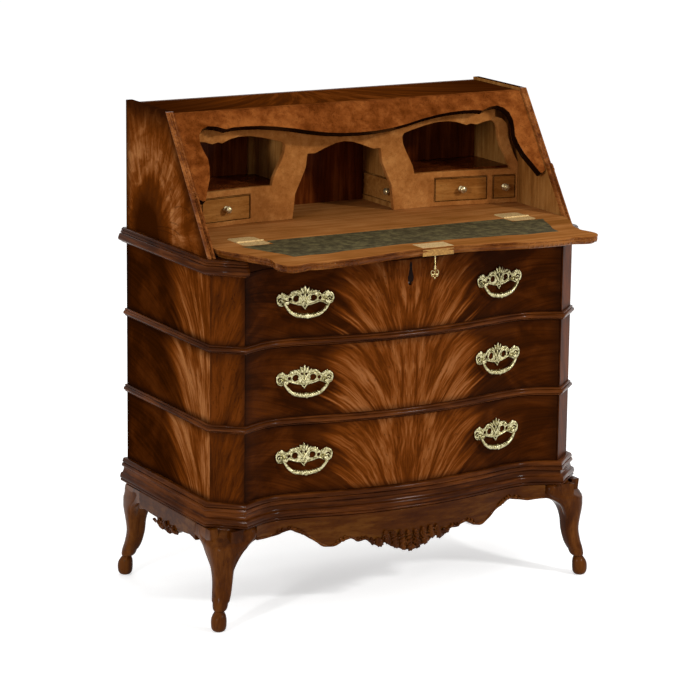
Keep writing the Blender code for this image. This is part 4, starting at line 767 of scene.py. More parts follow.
# Collar: shares of its length, each with what it stands over the lower beads
COLLAR = (
    (0, 0.0), (0.02, 0.0015), (0.15, 0.002), (0.3, 0.001), (0.45, 0.0015), (0.7, 0.001), (0.85, -0.001),
    (1.0, -0.005),
)


def make_slope_mouldings():
    """Two beads with a braid between them up each sloping edge, and a collar part of the way up."""
    foot_z = WAIST_TOP + GAP
    length = (CASE_HEIGHT - foot_z) / SINE

    def outline(reach, rise, level=None):
        points = []
        for i, (share, up) in enumerate(SLOPE_PROFILE):
            braid = 0.17 * math.sin(math.tau * (reach / BRAID_PITCH + share * 1.2)) if 8 <= i <= 10 else 0.0
            high = max((up + braid) * rise, GAP)
            here = (level - foot_z - high * COSINE) / SINE if level else reach
            x, depth = INNER_HALF + GAP + share * SLOPE_WIDTH, SLOPE_FOOT_DEPTH - COSINE * here + SINE * high
            points.append(at(x, depth, foot_z + SINE * here + COSINE * high))
        return points

    outlines = [outline(0.0, LOW_BEADS, foot_z)]
    outlines += [outline(0.012 + 0.114 * k / 60, LOW_BEADS) for k in range(61)]
    outlines += [outline(0.127 + 0.02 * share, LOW_BEADS + more) for share, more in COLLAR]
    top = length - 0.008
    outlines += [outline(0.148 + (top - 0.148) * k / 90, HIGH_BEADS) for k in range(91)]
    outlines.append(outline(length, HIGH_BEADS, CASE_HEIGHT))
    dress_both(shade(drawn("slope_run_right", outlines), 45), "dark_moulding", REEDS, "slope_moulding_")


# Long drawers
def make_drawer_fronts():
    for word in ("lower", "middle", "top"):
        node = "drawer_" + word
        dress_node(node, node + "_veneered", word + "_drawer", "drawer_veneer", DRAWER_VENEER, 0.001,
                   smooth=35, half=OPENING_HALF)


# Stand
STAND_HEIGHT, BLOCK, OVER, BACK_OVER = 0.2125, 0.05, 0.016, 0.009
CANT = Vector((0.049, 0.054)).normalized()
CANT_REACH = 0.601
BRACKET_FACE, APRON_FACE, BRACKET_START = 0.0162, 0.0155, 0.356
SIDE_APRON_DEPTHS = (0.0913, 0.3647)
LEG_SHARES = (
    (0.0, 0.165, 0.19, 1.0), (0.01, 0.165, 0.255, 1.0), (0.035, 0.165, 0.312, 1.0),
    (0.08, 0.163, 0.334, 1.0), (0.125, 0.15, 0.325, 1.0), (0.16, 0.12, 0.285, 1.0),
    (0.19, 0.09, 0.215, 1.0), (0.197, 0.08, 0.205, 1.0), (0.206, 0.05, 0.262, 1.0),
    (0.232, 0.0, 0.312, 0.95), (0.29, -0.08, 0.338, 0.9), (0.36, -0.2, 0.36, 0.85),
    (0.48, -0.31, 0.38, 0.8), (0.6, -0.31, 0.43, 0.8), (0.7, -0.33, 0.52, 0.75), (0.77, -0.42, 0.63, 0.7),
    (0.84, -0.68, 0.83, 0.6), (0.9, -0.93, 0.98, 0.55), (0.935, -0.985, 1.0, 0.5),
    (0.965, -0.995, 0.985, 0.5), (0.985, -1.0, 0.95, 0.5), (0.999, -1.0, 0.9, 0.5),
)


def leg_outline(half, rounding, forward):
    """Square whose outer corner is rounded most, as points round its middle."""
    points = []
    for corner in range(4):
        middle = 45 + 90 * corner
        outward = math.cos(math.radians(middle)) > 0 and math.sin(math.radians(middle)) * forward > 0
        share = min(rounding * (1.45 if outward else 0.75), 1.0) if rounding < 0.9 else 1.0
        radius = half * share
        flat = half - radius
        cx = math.copysign(flat, math.cos(math.radians(middle)))
        cy = math.copysign(flat, math.sin(math.radians(middle)))
        for k in range(8):
            angle = math.radians(middle + 90 * ((k + 0.5) / 8 - 0.5))
            points.append((cx + radius * math.cos(angle), cy + radius * math.sin(angle)))
    return points


def make_legs():
    """Cabriole legs, each front knee planed off on the line of the canted corner above it."""
    for word, centre, forward in (("front", FRONT_DEPTH + OVER - BLOCK, 1), ("back", BLOCK - BACK_OVER, -1)):
        outlines = []
        for height, shift, half, rounding in smoothed(LEG_SHARES):
            move = shift * BLOCK / math.sqrt(2)
            x = CASE_HALF + OVER - BLOCK + BLOCK * 0.7 + move
            depth = centre + forward * (BLOCK * 0.7 + move)
            ring = leg_outline(half * BLOCK, min(rounding, 1.0), forward)
            ring = [Vector((x + a, depth + b)) for a, b in ring]
            if forward > 0:
                limit = CANT_REACH + 0.06 * max((0.985 - height) / 0.22, 0.0) ** 1.3
                ring = [p - CANT * max(p.dot(CANT) - limit, 0.0) for p in ring]
            outlines.append([at(p.x, p.y, max(height, 0.0) * STAND_HEIGHT) for p in ring])
        piece = shade(drawn("leg_" + word + "_right_carved", outlines), 50)
        dress_both(piece, "stand_wood", STAND, "leg_" + word + "_")


def make_brackets():
    """Curved brackets that carry the aprons down into the legs."""
    shape = smoothed([
        (-0.026, 0.1815), (-0.012, 0.1818), (0.004, 0.1808), (0.016, 0.1775), (0.028, 0.1705),
        (0.038, 0.161), (0.0462, 0.148), (0.053, 0.131), (0.058, 0.11),
    ], 5) + [(0.066, 0.11), (0.066, 0.211), (-0.026, 0.211)]
    layers = (
        (0.006, 0.018), (0.0045, 0.0176), (0.0018, 0.015), (0.0, 0.011), (0.0, 0.007), (0.0015, 0.0032),
        (0.0035, 0.001), (0.006, 0.0),
    )

    def sunk(a, z):
        """How far the face lies behind the apron's: flush on it, following the leg's knee below."""
        start = max(1 - (a + 0.026) / 0.022, 0.0)
        knee = max((0.163 - z) / 0.045, 0.0) ** 1.25 * 0.0105
        return 0.0011 * start + 0.0006 * min(max((a - 0.012) / 0.03, 0.0), 1.0) + knee

    def front(a, z, w):
        x = BRACKET_START + a
        return at(x, front_depth(min(x, FRONT_HALF)) + BRACKET_FACE - w - sunk(a, z), z)

    def side_front(a, z, w):
        return at(CASE_HALF + BRACKET_FACE - w - sunk(a, z), SIDE_APRON_DEPTHS[1] + GAP + a, z)

    def side_back(a, z, w):
        return at(CASE_HALF + BRACKET_FACE - w - sunk(a, z), SIDE_APRON_DEPTHS[0] - GAP - a, z)

    for mapping in (front, side_front, side_back):
        outlines = [[mapping(a, z + (lift if z < 0.19 else 0.0), w) for a, z in shape] for lift, w in layers]
        piece = drawn("bracket_" + mapping.__name__ + "_right", outlines)
        dress_both(shade(piece, 60), "stand_wood", STAND)


APRON_HALF = CASE_HALF + OVER - 2 * BLOCK - GAP
APRON_DROP = 0.091
APRON_SHARES = (
    (0.0, 1.0), (0.034, 0.989), (0.062, 0.948), (0.093, 0.907), (0.127, 0.857), (0.157, 0.769),
    (0.18, 0.753), (0.202, 0.791), (0.222, 0.813), (0.242, 0.764), (0.27, 0.698), (0.298, 0.637),
    (0.343, 0.654), (0.368, 0.604), (0.394, 0.571), (0.419, 0.588), (0.447, 0.632), (0.475, 0.692),
    (0.506, 0.725), (0.534, 0.725), (0.562, 0.692), (0.59, 0.621), (0.621, 0.527), (0.652, 0.45),
    (0.686, 0.379), (0.722, 0.308), (0.756, 0.258), (0.81, 0.291), (0.843, 0.324), (0.886, 0.352),
    (0.928, 0.348), (1.0, 0.33),
)
# Scrolls on each half of the rim: place across, height over the edge, radius, start, sweep and width
RIM_SCROLLS = (
    (0.016, 0.012, 0.0085, 200, -400, 0.0026), (0.04, 0.01, 0.008, 20, 380, 0.0026),
    (0.058, 0.013, 0.007, 230, -380, 0.0024), (0.076, 0.008, 0.0062, 10, 360, 0.0022),
    (0.03, 0.026, 0.0065, 120, 330, 0.0022), (0.05, 0.026, 0.005, 40, 330, 0.0019),
)
# Leaves on each half of the rim: place across and size
RIM_LEAVES = (
    (0.104, 1.0), (0.112, 0.8), (0.121, 0.9), (0.15, 1.0), (0.158, 1.1), (0.166, 0.8), (0.243, 1.1),
    (0.25, 1.2), (0.257, 1.0), (0.264, 1.1), (0.271, 0.9), (0.285, 0.9), (0.296, 0.8),
)
SIDE_SCROLLS = (
    (0.000, 0.012, 0.008, 90, 400, 0.0026), (0.019, 0.013, 0.0072, 180, -380, 0.0024),
    (-0.019, 0.013, 0.0072, 0, 380, 0.0024), (0.034, 0.018, 0.0058, 200, -360, 0.002),
    (-0.034, 0.018, 0.0058, -20, 360, 0.002),
)


def wander(k, spread):
    """Uneven share that is the same on each run."""
    return math.sin(k * 12.9898 + spread * 4.1) * 0.5 + 0.5


def make_aprons():
    for node, half in (("apron_front", APRON_HALF), ("apron_left", None), ("apron_right", None)):
        dress_node(node, node + "_shaped", "case", "stand_wood", APRON, 0.0025, 3, half=half)

    # Rolled rim along the scalloped lower edge
    half = [(a * APRON_HALF, STAND_HEIGHT - b * APRON_DROP) for a, b in APRON_SHARES]
    line = smoothed([(-x, z) for x, z in reversed(half[1:])] + half, 5)

    def edge_height(x):
        """Height of the apron's lower edge at a place across."""
        for first, second in zip(line, line[1:]):
            if first[0] <= x <= second[0]:
                return first[1] + (second[1] - first[1]) * (x - first[0]) / max(second[0] - first[0], 1e-6)
        return line[-1][1]

    rolled = [Vector((p[0], p[1] + 0.002, 0.0006)) for p in line]
    rim = [rod_along("rim_roll", rolled, lambda s: 0.0027 + 0.0006 * math.sin(s * 150), 8, 0.9)]

    # Shell, scrolls and leaves clustered at the middle, thinning out along the rim
    count, reach = 150, 0.092
    for k in range(count):
        x = (k / (count - 1) * 2 - 1) * reach
        tall = 0.034 * (1 - (abs(x) / reach) ** 1.7) + 0.005
        up = 0.0035 + tall * wander(k, 1) ** 1.2
        size = 0.0021 + 0.0024 * wander(k, 2)
        turn = (wander(k, 3) - 0.5) * 200 + (-40 if x > 0 else 40)
        middle = (x, edge_height(x) + up, 0.001 + 0.0036 * wander(k, 4))
        rim.append(bud(middle, (size, size * (1.3 + wander(k, 5)), size * 1.1), turn, 6, 8))
    for side in (-1, 1):
        for x, up, radius, start, sweep, width in RIM_SCROLLS:
            begin, turn = (start, sweep) if side > 0 else (180 - start, -sweep)
            middle = (side * x, edge_height(side * x) + up, 0.003)
            rim.append(scroll(middle, radius, begin, turn, width, flat=1.1))
        for x, size in RIM_LEAVES:
            middle = (side * x, edge_height(side * x) + 0.0035, 0.0028)
            rim.append(bud(middle, (0.0034 * size, 0.0056 * size, 0.0036), side * (60 + 30 * size), 8, 10))
            middle = (side * (x + 0.003), edge_height(side * x) + 0.0075, 0.0022)
            rim.append(bud(middle, (0.0024 * size, 0.004 * size, 0.0028), side * (20 + 30 * size), 6, 8))
    for turn, long in ((180, 0.013), (150, 0.012), (210, 0.012), (122, 0.011), (238, 0.011)):
        a = math.radians(turn)
        middle = (-math.sin(a) * long * 0.5, edge_height(0) + 0.0115 + math.cos(a) * long * 0.5, 0.005)
        rim.append(bud(middle, (0.0036, long * 0.6, 0.0044), turn, 8, 10))
    piece = joined("apron_carving", rim)
    for corner in piece.data.vertices:
        x, z, w = corner.co
        corner.co = at(x, front_depth(x) + APRON_FACE + w, z)
    dress(turn_out(piece), "case", "stand_wood", STAND)

    # Carving at the middle of each side apron
    low, count = STAND_HEIGHT - 0.0575, 24
    leaves = [
        scroll((x, low + z, 0.0026), radius, start, sweep, width, flat=1.1)
        for x, z, radius, start, sweep, width in SIDE_SCROLLS
    ]
    for k in range(-count, count + 1):
        share = abs(k) / count
        up = 0.004 + 0.01 * share**2 + 0.02 * wander(k + 40, 1) * (1 - share)
        size = 0.002 + 0.002 * wander(k + 40, 2)
        middle = (k * 0.0024, low + up, 0.0012 + 0.0028 * wander(k + 40, 4))
        leaves.append(bud(middle, (size, size * 1.7, size), (wander(k, 3) - 0.5) * 200, 6, 8))
    piece = joined("side_carving_right", leaves)
    middle = (SIDE_APRON_DEPTHS[0] + SIDE_APRON_DEPTHS[1]) / 2
    for corner in piece.data.vertices:
        x, z, w = corner.co
        corner.co = at(CASE_HALF + APRON_FACE + w, middle + x, z)
    dress_both(turn_out(piece), "stand_wood", STAND)


# Drop handles
HANDLE_X, POST_REACH, POST_HALF, PLATE_RISE = 0.236, 0.012, 0.043, 0.034
POST_PROFILE = (
    (0.0004, 0.005), (0.003, 0.0046), (0.0042, 0.0034), (0.0055, 0.0026), (0.0075, 0.0026), (0.009, 0.0038),
    (0.0105, 0.0046), (0.0122, 0.0049), (0.014, 0.0044), (0.0155, 0.003), (0.0164, 0.0008),
)
WEB = (
    (0.0, -0.0065), (0.008, -0.0066), (0.022, -0.005), (0.032, -0.003), (0.044, -0.0065), (0.055, -0.005),
    (0.059, 0.004), (0.054, 0.014), (0.045, 0.0175), (0.036, 0.013), (0.028, 0.02), (0.018, 0.0225),
    (0.01, 0.022), (0.0, 0.03),
)
WEB_HOLES = (
    (0.0178, 0.0064, 0.008), (0.0322, 0.0055, 0.0046), (0.0528, 0.004, 0.0052), (0.0046, 0.013, 0.003),
    (0.009, 0.0185, 0.0018), (0.0034, -0.0032, 0.0022),
)


def plate_half(side):
    """Rods, volutes and leaves of one half of a plate, on u across, v up and w outward."""
    parts = []

    def sweep(w, width, steps, *points):
        line = [(side * p.x, p.y, w) for p in smoothed(points, steps)]
        parts.append(rod_along("sweep", line, width, 8, 0.9))

    def volute(u, v, w, radius, start, turn, width, inner=0.3):
        parts.append(scroll((side * u, v, w), radius, 90 + side * start, side * turn, width, inner))

    def leaf(u, v, w, sizes, turn):
        parts.append(bud((side * u, v, w), sizes, side * turn))

    sweep(0.0022, 0.0019, 5, (0.0575, -0.004), (0.06, 0.004), (0.0585, 0.012), (0.052, 0.0165),
          (0.045, 0.015), (0.04, 0.01))
    volute(0.0525, 0.002, 0.0022, 0.0062, -90, -400, 0.0022)
    leaf(0.0475, 0.0165, 0.0022, (0.004, 0.0046, 0.0024), -20)
    leaf(0.0535, 0.015, 0.0022, (0.003, 0.004, 0.0022), -60)
    sweep(0.002, 0.0018, 4, (0.057, -0.005), (0.048, -0.0075), (0.04, -0.004), (0.032, -0.0015),
          (0.024, -0.004), (0.012, -0.0075), (0.0, -0.0085))
    sweep(0.0022, 0.0019, 4, (0.04, 0.01), (0.034, 0.012), (0.029, 0.0165), (0.024, 0.0205),
          (0.018, 0.0205), (0.012, 0.0165))
    volute(0.0178, 0.0065, 0.0024, 0.01, -130, 250, 0.0021, 0.62)
    volute(0.0322, 0.0055, 0.0022, 0.0062, 120, -250, 0.0019, 0.6)
    leaf(0.0255, 0.0165, 0.003, (0.0028, 0.0066, 0.0026), -42)
    leaf(0.036, 0.012, 0.0026, (0.0024, 0.0046, 0.0022), -60)
    sweep(0.003, 0.0019, 3, (0.0, -0.002), (0.0045, 0.006), (0.0095, 0.0135), (0.0165, 0.0195))
    leaf(0.0062, 0.0225, 0.003, (0.0023, 0.008, 0.0026), -20)
    leaf(0.012, 0.0205, 0.0028, (0.0021, 0.006, 0.0024), -42)
    sweep(0.0026, 0.0014, 1, (0.0075, -0.006), (0.0042, -0.011), (0.0, -0.016))
    sweep(0.0026, 0.0013, 1, (0.006, -0.0065), (0.003, -0.0035), (0.0, 0.0))
    return parts


def handle_plate():
    """Pierced plate of scrolls and leaves with its two posts, each a turned ball."""
    parts = plate_half(-1) + plate_half(1)
    parts.append(bud((0.0, 0.0255, 0.0036), (0.0026, 0.0082, 0.003)))
    parts.append(bud((0.0, 0.0125, 0.003), (0.0017, 0.006, 0.0024)))
    parts.append(bud((0.0, -0.0158, 0.003), (0.002, 0.0028, 0.0024), 180))
    # Thin pierced web behind the leaves
    right = smoothed(WEB, 3)
    rings = [[(p.x, p.y) for p in right] + [(-p.x, p.y) for p in reversed(right[1:-1])]]
    corners = [math.tau * k / 14 for k in range(14)]
    for side in (-1, 1):
        for u, v, radius in WEB_HOLES:
            rings.append([(side * u + radius * math.cos(a), v + radius * math.sin(a)) for a in corners])
    data = bpy.data.curves.new("handle_web", "CURVE")
    data.dimensions = "2D"
    data.fill_mode = "BOTH"
    data.extrude = 0.0007
    for points in rings:
        spline = data.splines.new("POLY")
        spline.points.add(len(points) - 1)
        for point, (u, v) in zip(spline.points, points):
            point.co = (u, v, 0.0008, 1.0)
        spline.use_cyclic_u = True
    web = bpy.data.objects.new("handle_web", data)
    bpy.context.scene.collection.objects.link(web)
    only(web)
    bpy.ops.object.convert(target="MESH")
    parts.append(turn_out(bpy.context.active_object))
    for u in (-POST_HALF, POST_HALF):
        parts.append(turned("post", POST_PROFILE, lambda w: (u, 0.0, w), 12, Vector((0, 1, 0))))
    return joined("handle_plate", parts)


def handle_bail():
    """Tapered drop bail with a leafy knop, on u along its axis, v up and w outward."""
    half = [(0.0, -0.0305), (0.008, -0.0303), (0.017, -0.0292), (0.026, -0.0264), (0.034, -0.0214),
            (0.0405, -0.015), (0.0455, -0.0082), (0.048, -0.003), (0.0484, 0.0004)]
    line = smoothed([(-u, v, 0.0) for u, v in reversed(half[1:])] + [(u, v, 0.0) for u, v in half])

    def width(share):
        middle = 1 - abs(share - 0.5) * 2
        return 0.0018 + 0.0021 * math.sin(min(middle * 1.5, 1.0) * math.pi / 2)

    parts = [rod_along("bow", line, width, 10)]
    for side in (-1, 1):
        parts.append(bud((side * 0.0486, 0.0, 0.0), (0.0024, 0.0026, 0.0026)))
        for u, v, size in ((0.006, -0.029, 0.0058), (0.0115, -0.0284, 0.0056), (0.0165, -0.0274, 0.0052),
                           (0.0215, -0.0262, 0.0046), (0.0262, -0.024, 0.004)):
            sizes = (size * 0.7, size * 1.05, size * 0.95)
            parts.append(bud((side * u, v, 0.0008), sizes, side * 40))
            sizes = (size * 0.55, size * 0.8, size * 0.85)
            parts.append(bud((side * u, v - 0.0022, 0.0004), sizes, side * 120))
    parts.append(bud((0.0, -0.0296, 0.001), (0.0052, 0.0068, 0.0056)))
    return joined("handle_bail", parts)


def make_handles():
    """Plates laid on the curved fronts and bails hung between their posts."""
    plate, bail = handle_plate(), handle_bail()
    ends = (HANDLE_X - POST_HALF, HANDLE_X + POST_HALF)
    near, far = (Vector((x, facet_depth(x) + POST_REACH)) for x in ends)
    middle, along = (near + far) / 2, (far - near).normalized()
    for word in ("lower", "middle", "top"):
        for side, name in ((-1, "left"), (1, "right")):
            here = word + "_" + name
            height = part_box("backplate_" + here)[1].z - PLATE_RISE

            def laid(p):
                x = HANDLE_X + p.x
                return at(side * x, front_depth(x) + GAP + p.z, height + p.y)

            def hung(p):
                spot = middle + along * p.x + Vector((-along.y, along.x)) * p.z
                return at(side * spot.x, spot.y, height + p.y)

            piece = shade(turn_out(twin(plate, "plate_" + here, laid)), 60)
            dress(piece, word + "_drawer", "handle_brass", HANDLE_BRASS, "backplate_" + here)
            piece = shade(turn_out(twin(bail, "drop_" + here, hung)), 60)
            dress(piece, word + "_bail_" + name, "handle_brass", HANDLE_BRASS, "bail_" + here)
    for pattern in (plate, bail):
        bpy.data.objects.remove(pattern)


# Fall
LID_SHARES = (
    (1.0, 0.0), (1.0, 0.116), (0.991, 0.233), (0.963, 0.341), (0.935, 0.434), (0.902, 0.543),
    (0.886, 0.64), (0.881, 0.717), (0.893, 0.795), (0.899, 0.86), (0.892, 0.93), (0.869, 0.977),
    (0.836, 1.0), (0.794, 0.992), (0.743, 0.961), (0.701, 0.973), (0.631, 0.975), (0.549, 0.969),
    (0.467, 0.953), (0.374, 0.926), (0.28, 0.891), (0.187, 0.864), (0.093, 0.849), (0.0, 0.845),
)
# Flutes at the lid's edge: distance apart, how far in, and their feet and heads under its top
FLUTE_PITCH, FLUTE_IN, FLUTE_ENDS = 0.0105, 0.0031, (0.015, 0.0035)


def lid_half(steps=3):
    points = smoothed([(a * (INNER_HALF - 0.002), b * (LID_REACH - 0.0002), 0) for a, b in LID_SHARES], steps)
    return [(p.x, p.y) for p in points]


def make_lid():
    """Fall with a stepped and rounded dark edge; its face is a hair below the leather and brass."""
    half = lid_half()
    half[0] = (half[0][0], GAP)
    whole = half + [(-x, y) for x, y in reversed(half[:-1])]
    layers = (
        (0.0007, -0.0002), (0.0001, -0.0009), (0.0, -0.004), (0.002, -0.0046), (0.0022, -0.0058),
        (0.0008, -0.0064), (0.0006, -0.0086), (0.0018, -0.0112), (0.004, -0.0138), (0.005, -0.0144),
        (0.0052, -0.0158), (0.0072, -0.0172), (0.0082, -0.018),
    )
    outlines = []
    for inset, drop_by in layers:
        moved = offset(whole, inset)
        moved[0].y = moved[-1].y = GAP
        outlines.append([at(p.x, HINGE_DEPTH + p.y, BED_TOP + drop_by) for p in moved])
    piece = shade(drawn("fall_board", outlines), 38)
    dress(piece, "fall", "desk_wood", DESK, "fall_lid")
    two_sided(piece, EDGE, lambda face: face.normal.z < 0.96 and face.center.z < BED_TOP - 0.0006)
    two_sided(piece, BURR, lambda face: face.normal.z < -0.96)


def make_lid_ribs():
    """Small upright flutes carved in the lid's edge beside its corners."""
    line = [Vector(p) for p in lid_half(6)]
    ribs, gone = [], 0.0

    def width(share):
        return 0.0008 + 0.0022 * math.sin(math.pi * min(max(share, 0.02), 0.98)) ** 0.6

    for first, second in zip(line, line[1:]):
        gone += (second - first).length
        if gone < FLUTE_PITCH or not 0.2 < first.x < INNER_HALF or first.y < 0.55 * LID_REACH:
            continue
        gone = 0.0
        away = Vector((second.y - first.y, first.x - second.x)).normalized()
        middle = first - away * FLUTE_IN
        for x in (-middle.x, middle.x):
            foot, head = (at(x, HINGE_DEPTH + middle.y, BED_TOP - down) for down in FLUTE_ENDS)
            rise = [foot.lerp(head, k / 6) for k in range(7)]
            ribs.append(rod_along("lid_rib", rise, width, 8, 1.0, Vector((1, 0, 0))))
    dress(shade(joined("lid_flutes", ribs), 60), "fall", "desk_wood", EDGE)


def make_slope_frame():
    piece = dress_node("slope_frame", "slope_frame_veneered", "case", "frame_burr", BURR, 0.0012, angle=30)
    outward, up = Vector((0, -SINE, COSINE)), Vector((0, COSINE, SINE))

    # Painted shade: the opening's inner walls, turned down or towards the middle, take the near-black finish
    def inward(face):
        across = face.normal.x * (1 if face.center.x > 0 else -1)
        return abs(face.normal.dot(outward)) < 0.62 and (face.normal.dot(up) < -0.35 or across < -0.3)

    two_sided(piece, SHADOW, inward)


def make_key():
    """Turned shaft with a collar, and a small open bow of scrolls."""
    low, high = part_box("fall_key")
    y, foot = (low.y + high.y) / 2, BED_TOP - 0.046
    profile = ((high.z, 0.0017),) + tuple((foot + up, radius) for up, radius in (
        (0.004, 0.0017), (0.003, 0.003), (0.0015, 0.0036), (0.0, 0.0022), (-0.0012, 0.003),
        (-0.0025, 0.0034), (-0.004, 0.002), (-0.005, 0.0014),
    ))
    parts = [turned("shaft", profile, lambda z: (0.0, z, 0.0), 12)]
    for side in (-1, 1):
        for u, down, radius, start, sweep, width, inner in (
            (0.0042, 0.0105, 0.0052, -20, -330, 0.0012, 0.62),
            (0.005, 0.0165, 0.0034, 60, -340, 0.001, 0.5),
        ):
            middle = (side * u, foot - down, 0.0)
            parts.append(scroll(middle, radius, 90 + side * start, side * sweep, width, inner, tip=0.8))
    parts.append(bud((0.0, foot - 0.0215, 0.0), (0.002, 0.0028, 0.0016), 180))
    parts.append(bud((0.0, foot - 0.0125, 0.0), (0.0016, 0.004, 0.0014)))
    piece = joined("fall_key_turned", parts)
    for corner in piece.data.vertices:
        corner.co = Vector((corner.co.x, y + corner.co.z, corner.co.y))
    dress(shade(turn_out(piece), 60), "key", "key_metal", KEY_METAL, "fall_key")


# Fitted interior and case
SHELF_OVER_DRAWER, KNOB_BOSS, SIDE_KNOB = 0.016, 0.015, 0.0195


def make_gallery():
    node = "gallery_front"
    dress_node(node, node + "_shaped", "case", "gallery_burr", GALLERY_BURR, 0.0012, angle=30)


def make_cells():
    """Pigeonholes dark at the back and on their floors, honey on the walls and the pilaster."""
    for word in ("left", "right"):
        piece = copy_of("gallery_case_" + word, "pigeonholes_" + word)
        dress(piece, "case", "gallery_wood", CELLS, "gallery_case_" + word)
        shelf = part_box("wide_drawer_" + word)[1].z + SHELF_OVER_DRAWER
        two_sided(piece, LINING, lambda face: abs(face.normal.x) > 0.5 or (
            face.normal.y < -0.5 and face.center.z > shelf and face.center.y > BACK_Y - 0.03))


def make_lock_plate():
    """Engraved plate let into the lid's top, with a plain front."""
    piece = dress_node("fall_lock_plate", "lid_lock_plate", "fall", "hinge_brass", PLATE_BRASS, 0.0003, 1, 30)
    two_sided(piece, LOCK_BRASS, lambda face: face.normal.z < 0.5)


def make_case_sides():
    """Sides veneered outside and lined with honey walnut inside; the back ends level with the top."""
    for side, node in ((-1, "side_left"), (1, "side_right")):
        piece = dress_node(node, node + "_veneered", "case", "side_veneer", SIDE_VENEER, 0.0006, 1, smooth=30)
        two_sided(piece, LINING, lambda face: face.normal.x * side < -0.5)
    piece = copy_of("back_panel", "back_panel_boards")
    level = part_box("top_board")[1].z
    for corner in piece.data.vertices:
        corner.co.z = min(corner.co.z, level)
    soften(piece, 0.0005, 1, 40, 30)
    dress(piece, "case", "back_boards", BACK, "back_panel")
    two_sided(piece, CELLS, lambda face: face.normal.y < -0.5)


def outlined(name, ends, heights, spot, body):
    """Thin dark ring laid on a small drawer's face round its edge, painted shade of the gap round the drawer.
    """
    bpy.ops.mesh.primitive_plane_add(size=1.0)
    piece = bpy.context.active_object
    piece.name = name
    for corner, (height, end) in zip(piece.data.vertices, [(z, u) for z in heights for u in ends]):
        corner.co = spot(end, height)
    edit(piece)
    bpy.ops.mesh.inset(thickness=0.0011, depth=0.0)
    bpy.ops.mesh.delete(type="FACE")
    done()
    modify(piece, "SOLIDIFY", thickness=0.0004, offset=0.0)
    dress(turn_out(piece), body, "small_drawer_wood", SHADOW)


KNOB_PROFILE = (
    (0.0006, 0.0062), (0.0012, 0.007), (0.0022, 0.0056), (0.004, 0.0038), (0.0056, 0.0044),
    (0.0075, 0.0066), (0.0098, 0.0078), (0.012, 0.008), (0.014, 0.007), (0.0153, 0.0046),
    (0.016, 0.0016),
)


def make_knobs():
    """Turned brass knob over each small drawer's wooden boss, and a thin ring of painted shade round its
    face.
    """
    for node in [kind + "_drawer_" + word for kind in ("wide", "tiny", "side") for word in ("left", "right")]:
        low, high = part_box(node)
        body, z = node.replace("drawer", "small_drawer"), (low.z + high.z) / 2
        if node.startswith("side"):
            side = -1 if node.endswith("left") else 1
            face_x = (low.x if side > 0 else high.x) + side * KNOB_BOSS
            middle, inset, rim = low.y + SIDE_KNOB, 0.001, 0.0012
            ends = (low.y + inset, high.y - inset)

            def spot(u, height, out=GAP):
                return Vector((face_x - side * out, u, height))
        else:
            # The face follows the slanting wing of the gallery
            points = [v.co for v in nodes[node].data.vertices if v.co.z > high.z - 0.0045]
            first, last = (min(p.y for p in points if abs(p.x - x) < 0.0006) for x in (low.x, high.x))
            middle, inset, rim = (low.x + high.x) / 2, 0.0008, 0.0008
            ends = (low.x + inset, high.x - inset)
            slant = (last - first) / (high.x - low.x)

            def spot(u, height, out=GAP):
                return Vector((u, first + slant * (u - low.x) - out, height))

        outlined(node + "_line", ends, (low.z + rim, high.z - rim), spot, body)
        piece = turned(node.replace("drawer", "knob"), KNOB_PROFILE, lambda w: spot(middle, z, w), 16)
        dress(piece, body, "small_drawer_wood", KNOB_BRASS)


def make_keyhole():
    """Pear-shaped keyhole in the top drawer, with its narrow end up; its hole is a dark sheet of painted
    shade.
    """
    low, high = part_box("drawer_top")
    top = high.z - 0.005
    shape = smoothed([(0.0, top), (0.0026, top - 0.004), (0.003, top - 0.014), (0.0046, top - 0.024),
                      (0.0068, top - 0.034), (0.0058, top - 0.0415), (0.0, top - 0.045)], 4)
    outline = [(p.x, p.y) for p in shape] + [(-p.x, p.y) for p in reversed(shape[1:-1])]
    outlines = [[at(x, front_depth(x) + w, z) for x, z in outline] for w in (-0.0004, 0.0003)]
    dress(drawn("keyhole_mouth", outlines), "top_drawer", "drawer_veneer", SHADOW)


make_round_mouldings()
make_slope_mouldings()
make_drawer_fronts()
make_legs()
make_brackets()
make_aprons()
make_handles()
make_lid()
make_slope_frame()
make_key()
make_gallery()
make_lid_ribs()
make_cells()
make_lock_plate()
make_case_sides()
make_knobs()
make_keyhole()


# Room
def seen_by(tree):
    """One where the camera, a gloss or a clear thing sees it, nought where it lights the object."""
    rays = tree.nodes.new("ShaderNodeLightPath")
    seen = rays.outputs["Is Camera Ray"]
    for kind in ("Is Glossy Ray", "Is Transmission Ray"):
        most = tree.nodes.new("ShaderNodeMath")
        most.operation = "MAXIMUM"
        tree.links.new(seen, most.inputs[0])
        tree.links.new(rays.outputs[kind], most.inputs[1])
        seen = most.outputs[0]
    return seen


def pale(name, value, tint):
    """Pale matt surface that the camera sees as white and that keeps the object's shadow."""
    f = Finish(name, roughness=0.9, level=0.0)
    f.to("Base Color", f.ramp(f.noise(f.place, 40.0, 2.0), (0.0, value), (1.0, tint)))
    f.shader.inputs["Emission Color"].default_value = (1, 1, 1, 1)
    f.to("Emission Strength", f.times(seen_by(f.tree), 0.52))
    return f.material


FLOOR_GAP = 0.0006
bpy.ops.mesh.primitive_plane_add(size=40)
floor = bpy.context.active_object
floor.name = "floor"
for corner in floor.data.vertices:
    corner.co.z = -FLOOR_GAP
floor.data.materials.append(pale("floor_finish", "f6f6f5", "fcfcfb"))

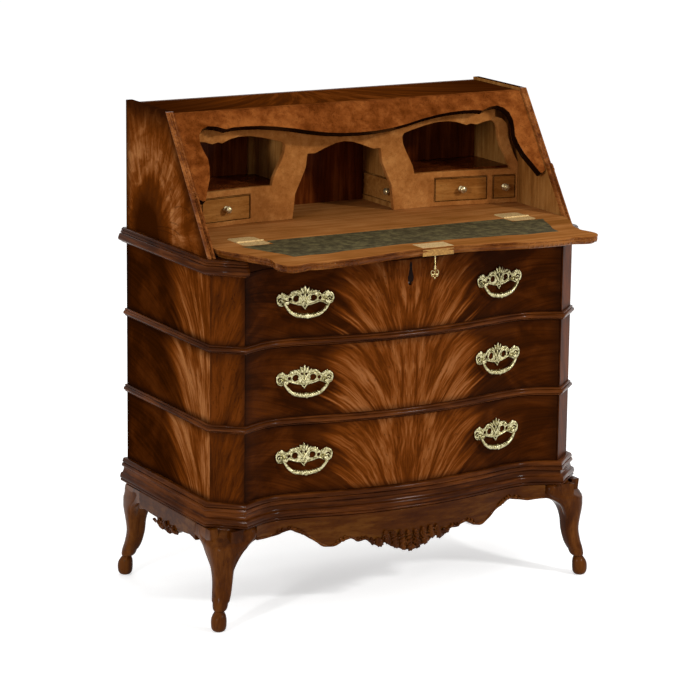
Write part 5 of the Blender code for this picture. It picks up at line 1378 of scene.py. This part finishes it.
world = bpy.data.worlds.new("studio")
bpy.context.scene.world = world
world.use_nodes = True
tree = world.node_tree
blend = tree.nodes.new("ShaderNodeMixShader")
tree.links.new(seen_by(tree), blend.inputs["Fac"])
lit, shown = tree.nodes["Background"], tree.nodes.new("ShaderNodeBackground")
for index, (side, strength) in enumerate(((lit, 0.55), (shown, 1.0)), 1):
    side.inputs["Color"].default_value = (1, 1, 1, 1)
    side.inputs["Strength"].default_value = strength
    tree.links.new(side.outputs[0], blend.inputs[index])
tree.links.new(blend.outputs[0], tree.nodes["World Output"].inputs["Surface"])


def lamp(name, where, at, size, power):
    """Soft area light aimed at a point."""
    data = bpy.data.lights.new(name, "AREA")
    data.shape = "RECTANGLE"
    data.size, data.size_y = size
    data.energy = power
    thing = bpy.data.objects.new(name, data)
    bpy.context.scene.collection.objects.link(thing)
    thing.location = where
    thing.rotation_euler = (Vector(at) - Vector(where)).to_track_quat("-Z", "Y").to_euler()


lamp("key_light", (1.9, -2.9, 2.4), (0, 0, 0.5), (0.36, 0.36), 62)
lamp("fill_light", (-3.38, -1.82, 1.6), (0, 0, 0.5), (0.26, 0.8), 44)
lamp("back_light", (0.6, 2.6, 2.6), (0, 0, 0.6), (2.0, 1.4), 25)

# Camera at the photograph's angle
TURN, RISE, ROLL, REACH = 0.5124401, 0.2254021, 0.0119282, 6.6496245
TARGET = Vector((-0.02643, 0.0467, 0.51317))
LENS = 158.318
away = Vector((-math.sin(TURN) * math.cos(RISE), -math.cos(TURN) * math.cos(RISE), math.sin(RISE)))
right = Vector((math.cos(TURN), -math.sin(TURN), 0))
up = right.cross(-away)
across = right * math.cos(ROLL) + up * math.sin(ROLL)
upward = up * math.cos(ROLL) - right * math.sin(ROLL)
camera_data = bpy.data.cameras.new("camera")
camera_data.sensor_width = 36
camera_data.lens = LENS
camera_data.clip_end = 100
camera = bpy.data.objects.new("camera", camera_data)
bpy.context.scene.collection.objects.link(camera)
turn = Matrix((across, upward, away)).transposed().to_4x4()
camera.matrix_world = Matrix.Translation(TARGET + away * REACH) @ turn
bpy.context.scene.camera = camera
bpy.context.scene.view_settings.view_transform = "Standard"
